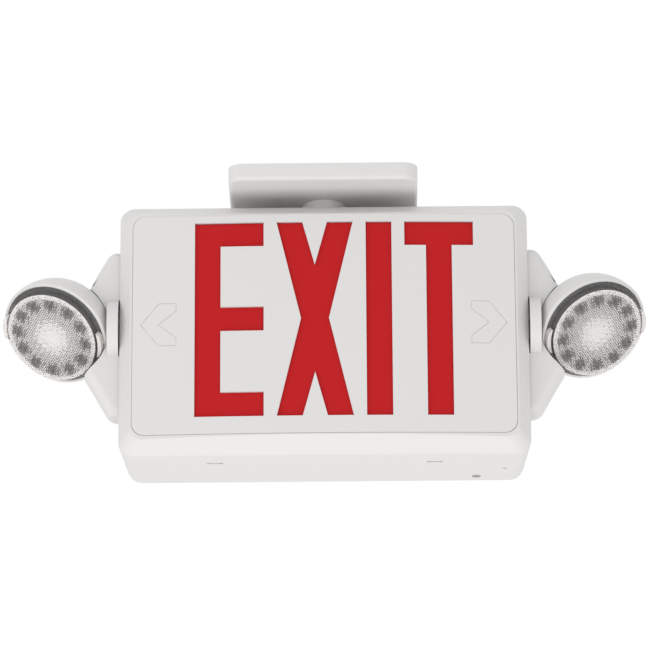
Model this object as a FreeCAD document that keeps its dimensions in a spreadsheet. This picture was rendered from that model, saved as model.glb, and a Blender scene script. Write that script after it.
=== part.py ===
"""Emergency exit light: a stencil-faced sign box with two ball-headed lamps, hung from a ceiling canopy.

Frame: X to the right of someone reading the sign, Y away from them, Z up. The origin is the middle of
the ceiling bar's top face, where the canopy meets the ceiling. All sizes are in millimetres.
"""
import FreeCAD, Part
import math
import os

import Sketcher
from FreeCAD import Placement, Rotation, Vector

os.makedirs("parts", exist_ok=True)
doc = FreeCAD.newDocument("EmergencyExitLight")

# ---------------------------------------------------------------------------------------------------
# Driving sizes
# ---------------------------------------------------------------------------------------------------
SIZES = {
    # sign box: the moulded front cover
    "cover_width": 302.0,
    "cover_height": 195.5,
    "cover_corner": 11.0,
    "cover_wall": 2.4,
    "skirt_taper": 4.0,
    "skirt_depth": 56.2,
    "bezel_drop": 16.0,
    "bezel_inset": 11.5,
    "bezel_corner": 9.5,
    "edge_round": 3.0,
    "face_radius": 2800.0,
    # face panel with the cut-out legend
    "panel_side_margin": 10.25,
    "panel_end_margin": 12.0,
    "panel_thickness": 2.0,
    "panel_clearance": 0.25,
    "panel_proud": 0.6,
    "ledge_width": 5.75,
    "ledge_thickness": 2.4,
    "legend_margin": 9.55,
    "letter_stroke": 19.05,
    "letter_width": 50.8,
    "cross_width": 56.4,
    "cross_crotch": 34.0,
    "letter_gap": 9.5,
    "legend_right": 7.8,
    "legend_up": 3.6,
    "chevron_inset": 19.25,
    "chevron_width": 26.0,
    "chevron_height": 33.0,
    "chevron_arm": 13.0,
    "score_width": 0.5,
    "score_depth": 0.35,
    # diffuser and light box behind the legend
    "diffuser_margin": 6.25,
    "diffuser_thickness": 1.5,
    "light_box_margin": 3.75,
    "light_box_depth": 24.0,
    "light_box_wall": 1.6,
    "strip_margin": 23.0,
    "strip_width": 8.0,
    "strip_thickness": 1.6,
    "led_size": 3.5,
    "led_height": 1.4,
    "led_pitch": 19.0,
    # back plate
    "plate_depth": 5.3,
    "plate_wall": 2.4,
    "seam_step": 0.8,
    "hook_centre": 80.5,
    "hook_width": 7.0,
    "hook_thickness": 1.6,
    "hook_clearance": 0.2,
    "hook_reach": 1.6,
    "snap_slot_length": 11.5,
    "snap_slot_width": 2.2,
    "snap_slot_setback": 39.4,
    "box_screw_spacing": 88.9,
    "wall_screw_spacing": 228.6,
    "mount_hole_radius": 2.4,
    # ceiling canopy and hub
    "canopy_width": 140.0,
    "canopy_depth": 112.0,
    "canopy_height": 12.8,
    "canopy_corner": 11.0,
    "canopy_round": 3.0,
    "canopy_wall": 2.2,
    "canopy_gap": 8.95,
    "bar_length": 130.0,
    "bar_width": 20.0,
    "bar_thickness": 2.0,
    "bar_slot_length": 14.0,
    "nipple_radius": 6.5,
    "nipple_bore": 4.8,
    "nipple_clearance": 0.15,
    "collar_radius": 16.0,
    "locknut_radius": 10.5,
    "locknut_height": 4.0,
    # side wings
    "wing_half_height": 65.5,
    "wing_setback": 20.0,
    "wing_depth": 19.4,
    "wing_shoulder_reach": 9.5,
    "wing_shoulder_up": 60.0,
    "wing_shoulder_radius": 11.0,
    "wing_tip_reach": 26.0,
    "wing_tip_up": 31.0,
    "wing_round": 7.0,
    "wing_wall": 2.2,
    "barrel_radius": 24.0,
    "barrel_slot": 1.1,
    "barrel_nest": 2.2,
    "wing_screw_offset": 47.0,
    "wing_boss_radius": 4.0,
    "wing_screw_radius": 1.6,
    # lamp heads
    "ball_reach": 48.3,
    "ball_setback": 30.0,
    "ball_up": 4.2,
    "ball_radius": 41.5,
    "ball_wall": 2.2,
    "rim_round": 1.0,
    "ball_clearance": 0.4,
    "lamp_down": 51.0,
    "lamp_out": 22.0,
    "turn_least": 12.0,
    "turn_most": 52.0,
    "stem_radius": 4.5,
    "stem_bore": 2.8,
    "stem_slot_clearance": 0.5,
    "stem_fit": 0.05,
    "key_along": 12.0,
    "key_across": 26.0,
    "key_wall": 2.2,
    "key_clearance": 0.3,
    "spring_height": 1.1,
    "spring_outer": 7.2,
    "nut_radius": 7.2,
    "nut_height": 3.4,
    "nut_room": 1.4,
    "lens_radius": 37.0,
    "lens_height": 8.0,
    "lens_wall": 1.6,
    "lens_flange": 1.2,
    "lens_seat_clearance": 0.15,
    "tab_width": 20.0,
    "tab_reach": 3.0,
    "tab_height": 5.0,
    "board_radius": 30.0,
    "board_thickness": 1.6,
    "reflector_mouth": 35.0,
    "reflector_floor": 12.0,
    "reflector_height": 6.4,
    "reflector_wall": 1.0,
    "emitter_size": 5.0,
    # test button and status lamp on the underside
    "button_inset": 35.5,
    "button_from_seam": 6.4,
    "button_radius": 3.3,
    "button_fit": 0.05,
    "button_recess": 0.3,
    "button_flange": 4.8,
    "button_travel": 1.2,
    "lamp_inset": 14.9,
    "lamp_setback": 48.8,
    "lamp_radius": 1.5,
    # electrical parts
    "cell_diameter": 22.5,
    "cell_length": 43.0,
    "battery_inset": 55.0,
    "battery_rise": 45.75,
    "strap_width": 12.0,
    "strap_thickness": 1.2,
    "transformer_width": 42.0,
    "transformer_height": 35.0,
    "transformer_depth": 28.0,
    "transformer_rise": 45.75,
    "control_width": 92.0,
    "control_height": 66.0,
    "control_thickness": 1.6,
    "control_overhang": 14.0,
    "control_gap": 3.2,
    "control_rise": 6.5,
    "relay_left": 30.0,
    "relay_rise": 34.0,
    "relay_width": 18.0,
    "relay_height": 16.0,
    "relay_depth": 14.0,
    "choke_right": 2.0,
    "choke_rise": 30.0,
    "choke_width": 14.0,
    "choke_height": 18.0,
    "cap_left": 34.0,
    "cap_pitch": 18.0,
    "cap_rise": 16.0,
    "cap_radius": 6.0,
    "small_cap_radius": 5.0,
    "cap_depth": 16.0,
}


class Size:
    """A number that also carries the sheet expression that it came from."""

    def __init__(self, number, text):
        self.number = float(number)
        self.text = text

    def __add__(self, other):
        other = as_size(other)
        return Size(self.number + other.number, f"({self.text} + {other.text})")

    def __sub__(self, other):
        other = as_size(other)
        return Size(self.number - other.number, f"({self.text} - {other.text})")

    def __mul__(self, other):
        other = as_size(other)
        return Size(self.number * other.number, f"({self.text} * {other.text})")

    def __truediv__(self, other):
        other = as_size(other)
        return Size(self.number / other.number, f"({self.text} / {other.text})")

    def __neg__(self):
        return Size(-self.number, f"(0 - {self.text})")


def as_size(value):
    """Wrap a plain number so that it can stand beside the named sizes."""
    return value if isinstance(value, Size) else Size(value, repr(float(value)))


def root(value):
    """Square root of a Size."""
    return Size(math.sqrt(value.number), f"sqrt({value.text})")


def sine(angle):
    """Sine of a Size in degrees."""
    return Size(math.sin(math.radians(angle.number)), f"sin({angle.text})")


def cosine(angle):
    """Cosine of a Size in degrees."""
    return Size(math.cos(math.radians(angle.number)), f"cos({angle.text})")


def build_sheet():
    """Write every driving size to the spreadsheet and return the named sizes."""
    sheet = doc.addObject("Spreadsheet::Sheet", "Sizes")
    for row, (alias, number) in enumerate(SIZES.items(), start=1):
        sheet.set(f"A{row}", alias.replace("_", " "))
        sheet.set(f"B{row}", str(number))
        sheet.setAlias(f"B{row}", alias)
    doc.recompute()
    return {alias: Size(sheet.get(alias), f"Sizes.{alias}") for alias in SIZES}


size = build_sheet()
ZERO = as_size(0)

# Sizes of pieces that fit inside others: each is the carrying piece less a named margin.
size["seam_width"] = size["cover_width"] - size["skirt_taper"] * 2
size["panel_width"] = size["cover_width"] - size["panel_side_margin"] * 2
size["panel_height"] = size["cover_height"] - size["panel_end_margin"] * 2
size["letter_height"] = size["panel_height"] - size["legend_margin"] * 2
size["chevron_centre"] = size["panel_width"] / 2 - size["chevron_inset"]
size["diffuser_width"] = size["panel_width"] - size["diffuser_margin"] * 2
size["diffuser_height"] = size["panel_height"] - size["diffuser_margin"] * 2
size["light_box_width"] = size["panel_width"] - size["light_box_margin"] * 2
size["light_box_height"] = size["panel_height"] - size["light_box_margin"] * 2
size["strip_length"] = size["light_box_width"] - size["strip_margin"] * 2
size["wing_flat"] = size["cover_width"] / 2
size["wing_shoulder_out"] = size["wing_flat"] + size["wing_shoulder_reach"]
size["wing_tip_out"] = size["wing_flat"] + size["wing_tip_reach"]
size["ball_out"] = size["wing_flat"] + size["ball_reach"]
size["button_setback"] = size["bezel_drop"] + size["skirt_depth"] - size["button_from_seam"]
size["button_right"] = size["seam_width"] / 2 - size["button_inset"]
size["lamp_right"] = size["seam_width"] / 2 - size["lamp_inset"]
size["battery_left"] = size["seam_width"] / 2 - size["battery_inset"]

# Places that several pieces share
FACE_Y = -(size["bezel_drop"] + size["skirt_depth"] + size["plate_depth"]) / 2
EDGE_Y = FACE_Y + size["bezel_drop"]
SEAM_Y = EDGE_Y + size["skirt_depth"]
BACK_Y = SEAM_Y + size["plate_depth"]
TOP_Z = -(size["canopy_height"] + size["canopy_gap"])
MIDDLE_Z = TOP_Z - size["cover_height"] / 2
BOTTOM_Z = TOP_Z - size["cover_height"]
BALL_X = -size["ball_out"]
BALL_Y = FACE_Y + size["ball_setback"]
BALL_Z = MIDDLE_Z + size["ball_up"]
WING_Y = FACE_Y + size["wing_setback"]

# ---------------------------------------------------------------------------------------------------
# Sketching and feature helpers
# ---------------------------------------------------------------------------------------------------
PLANE_NORMAL = {"XY": 1, "XZ": -1, "YZ": 1}
plane_of_sketch = {}


def new_body(name):
    """Start a PartDesign body whose label names its file."""
    body = doc.addObject("PartDesign::Body", name)
    body.Label = name
    return body


def bind(feature, prop, value):
    """Set a property from a size and keep it tied to the sheet."""
    value = as_size(value)
    feature.setExpression(prop, value.text)


def origin_plane(body, plane):
    """Return a body's own XY, XZ or YZ plane."""
    return [item for item in body.Origin.OriginFeatures if item.Role == f"{plane}_Plane"][0]


def draw_outline(sketch, outline):
    """Draw a closed outline of (x, y) or (x, y, radius) corners; a radius bends the next run.

    A positive radius turns left and a negative one turns right.
    """
    first = sketch.GeometryCount
    count = len(outline)
    corners = [(as_size(c[0]), as_size(c[1]), as_size(c[2]) if len(c) > 2 else None) for c in outline]
    ends = []
    for index, (x, y, radius) in enumerate(corners):
        following = corners[(index + 1) % count]
        start = Vector(x.number, y.number, 0)
        end = Vector(following[0].number, following[1].number, 0)
        if radius is None:
            sketch.addGeometry(Part.LineSegment(start, end))
            ends.append((1, 2))
            continue
        reach = abs(radius.number)
        turn = 1 if radius.number > 0 else -1
        chord = end - start
        left = Vector(-chord.y, chord.x, 0).normalize()
        offset = math.sqrt(max(reach**2 - (chord.Length / 2) ** 2, 0.0))
        centre = (start + end) * 0.5 + left * (offset * turn)
        angles = [math.atan2(p.y - centre.y, p.x - centre.x) for p in (start, end)]
        circle = Part.Circle(centre, Vector(0, 0, 1), reach)
        if turn > 0:
            sketch.addGeometry(Part.ArcOfCircle(circle, angles[0], angles[1]))
            ends.append((1, 2))
        else:
            sketch.addGeometry(Part.ArcOfCircle(circle, angles[1], angles[0]))
            ends.append((2, 1))
    for index, (x, y, radius) in enumerate(corners):
        before = (index - 1) % count
        line = first + index
        sketch.addConstraint(
            Sketcher.Constraint("Coincident", first + before, ends[before][1], line, ends[index][0])
        )
        for kind, value in (("DistanceX", x), ("DistanceY", y)):
            made = sketch.addConstraint(Sketcher.Constraint(kind, -1, 1, line, ends[index][0], value.number))
            sketch.setExpression(f"Constraints[{made}]", value.text)
        if radius is not None:
            made = sketch.addConstraint(Sketcher.Constraint("Radius", line, abs(radius.number)))
            text = radius.text if radius.number > 0 else (-radius).text
            sketch.setExpression(f"Constraints[{made}]", text)


def draw_circle(sketch, x, y, radius):
    """Draw a full circle."""
    x, y, radius = as_size(x), as_size(y), as_size(radius)
    line = sketch.GeometryCount
    sketch.addGeometry(Part.Circle(Vector(x.number, y.number, 0), Vector(0, 0, 1), radius.number))
    for kind, value in (("DistanceX", x), ("DistanceY", y)):
        made = sketch.addConstraint(Sketcher.Constraint(kind, -1, 1, line, 3, value.number))
        sketch.setExpression(f"Constraints[{made}]", value.text)
    made = sketch.addConstraint(Sketcher.Constraint("Radius", line, radius.number))
    sketch.setExpression(f"Constraints[{made}]", radius.text)


def new_sketch(body, plane, at=0, centre=(0, 0), outlines=(), circles=()):
    """Make a sketch on a body's plane, at a height along the world axis across that plane.

    centre is where the sketch's own zero point lies, in the plane's two world axes.
    """
    at = as_size(at)
    across, up = as_size(centre[0]), as_size(centre[1])
    sketch = body.newObject("Sketcher::SketchObject", f"{body.Name}Sketch")
    sketch.AttachmentSupport = (origin_plane(body, plane), [""])
    sketch.MapMode = "FlatFace"
    height = at if PLANE_NORMAL[plane] > 0 else -at
    bind(sketch, "AttachmentOffset.Base.x", across)
    bind(sketch, "AttachmentOffset.Base.y", up)
    bind(sketch, "AttachmentOffset.Base.z", height)
    for outline in outlines:
        draw_outline(sketch, outline)
    for circle in circles:
        draw_circle(sketch, *circle)
    plane_of_sketch[sketch.Name] = plane
    return sketch


def extrude(kind, body, sketch, length, way):
    """Add a Pad or Pocket. way is +1 or -1 along the world axis, or 0 for both ways."""
    before = body.Shape.Volume if body.Tip else 0.0
    feature = body.newObject(f"PartDesign::{kind}", kind)
    feature.Profile = sketch
    natural = PLANE_NORMAL[plane_of_sketch[sketch.Name]]
    if kind == "Pocket":
        natural = -natural
    feature.SideType = "Symmetric" if way == 0 else "One side"
    feature.Reversed = way not in (0, natural)
    bind(feature, "Length", length)
    body.Tip = feature
    doc.recompute()
    changed = feature.Shape.Volume - before
    if (changed <= 0) == (kind == "Pad"):
        raise RuntimeError(f"{feature.Name} of {body.Label} changed nothing")
    return feature


def pad(body, sketch, length, way):
    """Grow a sketch into a solid."""
    return extrude("Pad", body, sketch, length, way)


def pocket(body, sketch, length, way):
    """Cut a sketch out of the body."""
    return extrude("Pocket", body, sketch, length, way)


def spin(kind, body, sketch, axis="V_Axis"):
    """Revolve or groove a sketch a full turn about one of its own axes."""
    before = body.Shape.Volume if body.Tip else 0.0
    feature = body.newObject(f"PartDesign::{kind}", kind)
    feature.Profile = sketch
    feature.ReferenceAxis = (sketch, [axis])
    feature.Angle = 360.0
    body.Tip = feature
    doc.recompute()
    changed = feature.Shape.Volume - before
    if (changed <= 0) == (kind == "Revolution"):
        raise RuntimeError(f"{feature.Name} of {body.Label} changed nothing")
    return feature


def loft(body, first, second):
    """Blend straight from one outline to another."""
    feature = body.newObject("PartDesign::AdditiveLoft", "Loft")
    feature.Profile = first
    feature.Sections = [second]
    feature.Ruled = True
    body.Tip = feature
    doc.recompute()
    return feature


def fillet(body, radius, choose):
    """Round the edges of the body's last feature that the test picks."""
    base = body.Tip
    names = [f"Edge{number}" for number, edge in enumerate(base.Shape.Edges, start=1) if choose(edge)]
    if not names:
        raise RuntimeError(f"no edge to round on {body.Label}")
    feature = body.newObject("PartDesign::Fillet", "Fillet")
    feature.Base = (base, names)
    bind(feature, "Radius", radius)
    body.Tip = feature
    doc.recompute()
    return feature


def mirror(body, features, plane):
    """Repeat features on the other side of one of the body's planes."""
    feature = body.newObject("PartDesign::Mirrored", "Mirrored")
    feature.Originals = features
    feature.MirrorPlane = (origin_plane(body, plane), [""])
    body.Tip = feature
    doc.recompute()
    return feature


def cut(name, base, tool):
    """Take one object away from another and label what is left."""
    made = doc.addObject("Part::Cut", name)
    made.Label = name
    made.Base = base
    made.Tool = tool
    doc.recompute()
    return made


def mirrored_copy(name, source):
    """The same piece for the right-hand side."""
    made = doc.addObject("Part::Mirroring", name)
    made.Label = name
    made.Source = source
    made.Normal = Vector(1, 0, 0)
    made.Base = Vector(0, 0, 0)
    doc.recompute()
    return made


def rectangle(left, right, low, high):
    """Corners of a plain rectangle."""
    return [(left, low), (right, low), (right, high), (left, high)]


def rounded(width, height, radius):
    """Corners of a rectangle with round corners, centred on the sketch's zero point."""
    half, tall = width / 2, height / 2
    return [
        (-half + radius, -tall),
        (half - radius, -tall, radius),
        (half, -tall + radius),
        (half, tall - radius, radius),
        (half - radius, tall),
        (-half + radius, tall, radius),
        (-half, tall - radius),
        (-half, -tall + radius, radius),
    ]


def lies_at(edge, axis, value, slack=0.01):
    """True for an edge that lies wholly at one height along an axis."""
    box = edge.BoundBox
    low, high = getattr(box, f"{axis}Min"), getattr(box, f"{axis}Max")
    return abs(low - value) < slack and abs(high - value) < slack


finished = []


def finish(piece):
    """Keep a piece for export."""
    finished.append(piece)
    return piece


# ---------------------------------------------------------------------------------------------------
# Sign box
# ---------------------------------------------------------------------------------------------------
def face_line(offset):
    """Outline in plan that lies in front of the bowed face, moved back by an offset."""
    half = size["cover_width"] / 2 + 5
    radius = size["face_radius"]
    bow = radius - root(radius * radius - half * half)
    front = FACE_Y - size["bezel_drop"]
    return [
        (-half, FACE_Y + offset + bow),
        (-half, front),
        (half, front),
        (half, FACE_Y + offset + bow, -radius),
    ]


def face_fill(offset, depth):
    """Outline in plan that lies behind the bowed face, moved back by an offset."""
    half = size["cover_width"] / 2 + 5
    radius = size["face_radius"]
    bow = radius - root(radius * radius - half * half)
    return [
        (-half, FACE_Y + offset + bow, radius),
        (half, FACE_Y + offset + bow),
        (half, FACE_Y + offset + depth),
        (-half, FACE_Y + offset + depth),
    ]


def box_form(name, inset, face_offset):
    """The sign box as a solid: drafted skirt, sloping bezel and bowed face, all moved in by an inset."""
    body = new_body(name)
    middle = (0, MIDDLE_Z)
    shrink = inset * 2

    def outline(width, height, corner):
        return [rounded(width - shrink, height - shrink, corner)]

    edge = outline(size["cover_width"], size["cover_height"], size["cover_corner"] - inset)
    seam = outline(size["seam_width"], size["cover_height"], size["cover_corner"] - inset)
    front_width = size["cover_width"] - size["bezel_inset"] * 2
    front_height = size["cover_height"] - size["bezel_inset"] * 2
    front = outline(front_width, front_height, size["bezel_corner"] - inset)
    loft(body, new_sketch(body, "XZ", EDGE_Y, middle, edge), new_sketch(body, "XZ", SEAM_Y, middle, seam))
    loft(body, new_sketch(body, "XZ", EDGE_Y, middle, edge), new_sketch(body, "XZ", FACE_Y, middle, front))
    curve = new_sketch(body, "XY", 0, outlines=[face_line(face_offset)])
    pocket(body, curve, size["cover_height"] * 4, 0)
    return body


def build_front_cover():
    """Moulded cover: bezel, skirt, the window for the face panel and every opening in its walls."""
    form = box_form("cover_form", ZERO, size["panel_proud"])
    edge_y = EDGE_Y.number
    fillet(form, size["edge_round"], lambda edge: lies_at(edge, "Y", edge_y))
    middle = (0, MIDDLE_Z)
    gap = size["panel_clearance"]
    recess = [rounded(size["panel_width"] + gap * 2, size["panel_height"] + gap * 2, size["bezel_corner"])]
    tool = new_body("panel_recess")
    pad(tool, new_sketch(tool, "XZ", SEAM_Y, middle, recess), size["skirt_depth"] * 2, -1)
    pocket(tool, new_sketch(tool, "XY", 0, outlines=[face_fill(size["panel_thickness"], size["skirt_depth"] * 3)]),
           size["cover_height"] * 4, 0)
    window_width = size["panel_width"] - size["ledge_width"] * 2
    window_height = size["panel_height"] - size["ledge_width"] * 2
    window = new_sketch(form, "XZ", SEAM_Y, middle, [rounded(window_width, window_height, size["bezel_corner"])])
    pocket(form, window, size["skirt_depth"] * 2, -1)
    side = size["cover_width"]
    drills = [(BALL_Y, BALL_Z, size["nut_radius"] + size["nut_room"])]
    for way in (-1, 1):
        drills.append((WING_Y + size["wing_depth"] / 2, MIDDLE_Z + size["wing_screw_offset"] * way,
                       size["wing_screw_radius"]))
    pocket(form, new_sketch(form, "YZ", 0, circles=drills), side * 2, 0)
    pocket(form, new_sketch(form, "XY", TOP_Z + 1, circles=[(0, 0, nipple_hole())]), as_size(20), -1)
    underside = [
        (size["button_right"], FACE_Y + size["button_setback"], size["button_radius"] + size["button_fit"]),
        (size["lamp_right"], FACE_Y + size["lamp_setback"], size["lamp_radius"]),
    ]
    pocket(form, new_sketch(form, "XY", BOTTOM_Z - 1, circles=underside), as_size(20), 1)
    slot_y = SEAM_Y - size["snap_slot_setback"]
    slots = []
    for way in (-1, 1):
        centre = size["hook_centre"] * way
        half = size["snap_slot_length"] / 2
        slots.append(rectangle(centre - half, centre + half, slot_y - size["snap_slot_width"] / 2,
                               slot_y + size["snap_slot_width"] / 2))
    pocket(form, new_sketch(form, "XY", MIDDLE_Z, outlines=slots), size["cover_height"] * 2, 0)
    core = box_form("cover_core", size["cover_wall"], size["panel_thickness"] + size["ledge_thickness"])
    back = new_sketch(core, "XZ", SEAM_Y - 1, middle,
                      [rounded(size["seam_width"] - size["cover_wall"] * 2,
                               size["cover_height"] - size["cover_wall"] * 2,
                               size["cover_corner"] - size["cover_wall"])])
    pad(core, back, as_size(3), 1)
    shell = cut("cover_shell", form, core)
    return finish(cut("front_cover", shell, tool))


def nipple_hole():
    """Radius of the plain holes that the threaded nipple goes through."""
    return size["nipple_radius"] + size["nipple_clearance"]


def curved_plate(name, width, height, corner, front, thickness):
    """A plate that follows the bow of the face; front is the offset of its near side."""
    body = new_body(name)
    outline = [rounded(width, height, corner)]
    pad(body, new_sketch(body, "XZ", SEAM_Y, (0, MIDDLE_Z), outline), size["skirt_depth"] * 2, -1)
    deep = size["cover_height"] * 4
    pocket(body, new_sketch(body, "XY", 0, outlines=[wide_line(front)]), deep, 0)
    pocket(body, new_sketch(body, "XY", 0, outlines=[face_fill(front + thickness, size["skirt_depth"] * 2)]),
           deep, 0)
    return body


def wide_line(offset):
    """Like face_line, with a front far enough away to clear the long pads of the curved plates."""
    points = face_line(offset)
    far = FACE_Y - size["skirt_depth"] * 2
    return [points[0], (points[1][0], far), (points[2][0], far), points[3]]


def legend_outlines():
    """Closed outlines of the four cut-out letters, about the middle of the panel."""
    tall, stroke = size["letter_height"], size["letter_stroke"]
    wide, cross, gap = size["letter_width"], size["cross_width"], size["letter_gap"]
    total = wide * 2 + cross + stroke + gap * 3
    low = size["legend_up"] - tall / 2
    high = low + tall
    left = size["legend_right"] - total / 2
    rung = (tall - stroke) / 2 + low
    letter_e = [
        (left, low), (left + wide, low), (left + wide, low + stroke), (left + stroke, low + stroke),
        (left + stroke, rung), (left + wide, rung), (left + wide, rung + stroke),
        (left + stroke, rung + stroke), (left + stroke, high - stroke), (left + wide, high - stroke),
        (left + wide, high), (left, high),
    ]
    x = left + wide + gap
    waist = tall / 2 + low
    middle = x + cross / 2
    half_waist = stroke * 0.54
    letter_x = [
        (x, low), (x + stroke, low), (middle, low + size["cross_crotch"]), (x + cross - stroke, low),
        (x + cross, low), (middle + half_waist, waist), (x + cross, high), (x + cross - stroke, high),
        (middle, high - size["cross_crotch"]), (x + stroke, high), (x, high), (middle - half_waist, waist),
    ]
    x = x + cross + gap
    letter_i = rectangle(x, x + stroke, low, high)
    x = x + stroke + gap
    stem = x + (wide - stroke) / 2
    letter_t = [
        (stem, low), (stem + stroke, low), (stem + stroke, high - stroke), (x + wide, high - stroke),
        (x + wide, high), (x, high), (x, high - stroke), (stem, high - stroke),
    ]
    return [letter_e, letter_x, letter_i, letter_t]


def chevron(way, grow):
    """Outline of one arrow knockout, pointing left (-1) or right (+1), grown by an amount."""
    tip = size["chevron_width"] / 2
    tall = size["chevron_height"] / 2
    arm = size["chevron_arm"]
    lean = grow * 1.5
    points = [
        (tip + lean, ZERO),
        (-tip + arm, tall + grow),
        (-tip - grow, tall + grow),
        (-tip - grow, tall - arm * 0.45),
        (tip - arm - lean, ZERO),
        (-tip - grow, -tall + arm * 0.45),
        (-tip - grow, -tall - grow),
        (-tip + arm, -tall - grow),
    ]
    centre = size["chevron_centre"] * way
    return [(centre + x * way, z) for x, z in points]


def build_face_panel():
    """White panel with the legend cut through it and an arrow knockout scored at each side."""
    plate = curved_plate("panel_plate", size["panel_width"], size["panel_height"], size["bezel_corner"],
                         ZERO, size["panel_thickness"])
    pocket(plate, new_sketch(plate, "XZ", SEAM_Y, (0, MIDDLE_Z), legend_outlines()),
           size["skirt_depth"] * 2, -1)
    score = new_body("score_lines")
    half = size["score_width"] / 2
    outlines = []
    for way in (-1, 1):
        outlines += [chevron(way, half), chevron(way, -half)]
    pad(score, new_sketch(score, "XZ", SEAM_Y, (0, MIDDLE_Z), outlines), size["skirt_depth"] * 2, -1)
    pocket(score, new_sketch(score, "XY", 0, outlines=[face_fill(size["score_depth"],
                                                                 size["skirt_depth"] * 2)]),
           size["cover_height"] * 4, 0)
    return finish(cut("face_panel", plate, score))


def build_light_box():
    """Red diffuser, white light box behind it and the two LED strips inside the box."""
    gap = as_size(0.1)
    back = size["panel_thickness"] + gap
    finish(curved_plate("red_diffuser", size["diffuser_width"], size["diffuser_height"],
                        size["bezel_corner"], back, size["diffuser_thickness"]))
    body = new_body("light_box")
    width, height = size["light_box_width"], size["light_box_height"]
    corner, wall = size["bezel_corner"], size["light_box_wall"]
    rear = FACE_Y + size["light_box_depth"]
    pad(body, new_sketch(body, "XZ", rear, (0, MIDDLE_Z), [rounded(width, height, corner)]),
        size["light_box_depth"], -1)
    hollow = [rounded(width - wall * 2, height - wall * 2, corner - wall)]
    pocket(body, new_sketch(body, "XZ", rear - wall, (0, MIDDLE_Z), hollow), size["light_box_depth"], -1)
    rim = size["panel_thickness"] + size["ledge_thickness"] + gap
    pocket(body, new_sketch(body, "XY", 0, outlines=[face_line(rim)]), size["cover_height"] * 4, 0)
    finish(body)
    for name, way in (("led_strip_upper", 1), ("led_strip_lower", -1)):
        finish(build_led_strip(name, way, rear - size["light_box_depth"] / 2 + 1, height / 2 - wall))


def build_led_strip(name, way, centre_y, reach):
    """A strip of board with a row of LEDs that face the middle of the box."""
    body = new_body(name)
    outer = MIDDLE_Z + reach * way
    half_long, half_wide = size["strip_length"] / 2, size["strip_width"] / 2
    board = [rectangle(-half_long, half_long, centre_y - half_wide, centre_y + half_wide)]
    pad(body, new_sketch(body, "XY", outer, outlines=board), size["strip_thickness"], -way)
    half = size["led_size"] / 2
    inner = outer - size["strip_thickness"] * way
    count = int(size["strip_length"].number // size["led_pitch"].number)
    chips = []
    for index in range(count):
        x = size["led_pitch"] * (index - (count - 1) / 2)
        chips.append(rectangle(x - half, x + half, centre_y - half, centre_y + half))
    pad(body, new_sketch(body, "XY", inner, outlines=chips), size["led_height"], -way)
    return body


def build_back_plate():
    """Shallow rear tray with four snap hooks, wall-screw holes and a scored wire knockout."""
    body = new_body("back_plate")
    middle = (0, MIDDLE_Z)
    step = size["seam_step"]
    width, height = size["seam_width"] - step * 2, size["cover_height"] - step * 2
    corner, wall = size["cover_corner"] - step, size["plate_wall"]
    pad(body, new_sketch(body, "XZ", BACK_Y, middle, [rounded(width, height, corner)]), size["plate_depth"], -1)
    hollow = [rounded(width - wall * 2, height - wall * 2, corner - wall)]
    floor = BACK_Y - wall
    pocket(body, new_sketch(body, "XZ", floor, middle, hollow), size["plate_depth"], -1)
    slot_y = SEAM_Y - size["snap_slot_setback"]
    inner = size["cover_height"] / 2 - size["cover_wall"] - size["hook_clearance"]
    half = size["hook_width"] / 2
    lip = size["snap_slot_width"] / 2 - size["hook_clearance"]
    for way in (-1, 1):
        side = size["hook_centre"] * way
        arms, tips = [], []
        for up in (-1, 1):
            near, far = inner * up, (inner - size["hook_thickness"]) * up
            low, high = (near, far) if up < 0 else (far, near)
            arms.append(rectangle(side - half, side + half, low, high))
            reach = (inner + size["hook_reach"]) * up
            low, high = (reach, near) if up < 0 else (near, reach)
            tips.append(rectangle(side - half, side + half, low, high))
        pad(body, new_sketch(body, "XZ", floor, middle, arms), floor - slot_y + lip, -1)
        pad(body, new_sketch(body, "XZ", slot_y + lip, middle, tips), lip * 2, -1)
    holes = []
    for spacing in ("box_screw_spacing", "wall_screw_spacing"):
        for way in (-1, 1):
            holes.append((size[spacing] * way / 2, 0, size["mount_hole_radius"]))
    pocket(body, new_sketch(body, "XZ", BACK_Y + 1, middle, circles=holes), as_size(20), -1)
    ring = [(0, 0, as_size(12)), (0, 0, as_size(13))]
    pocket(body, new_sketch(body, "XZ", BACK_Y, middle, circles=ring), wall / 2, -1)
    return finish(body)


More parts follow.
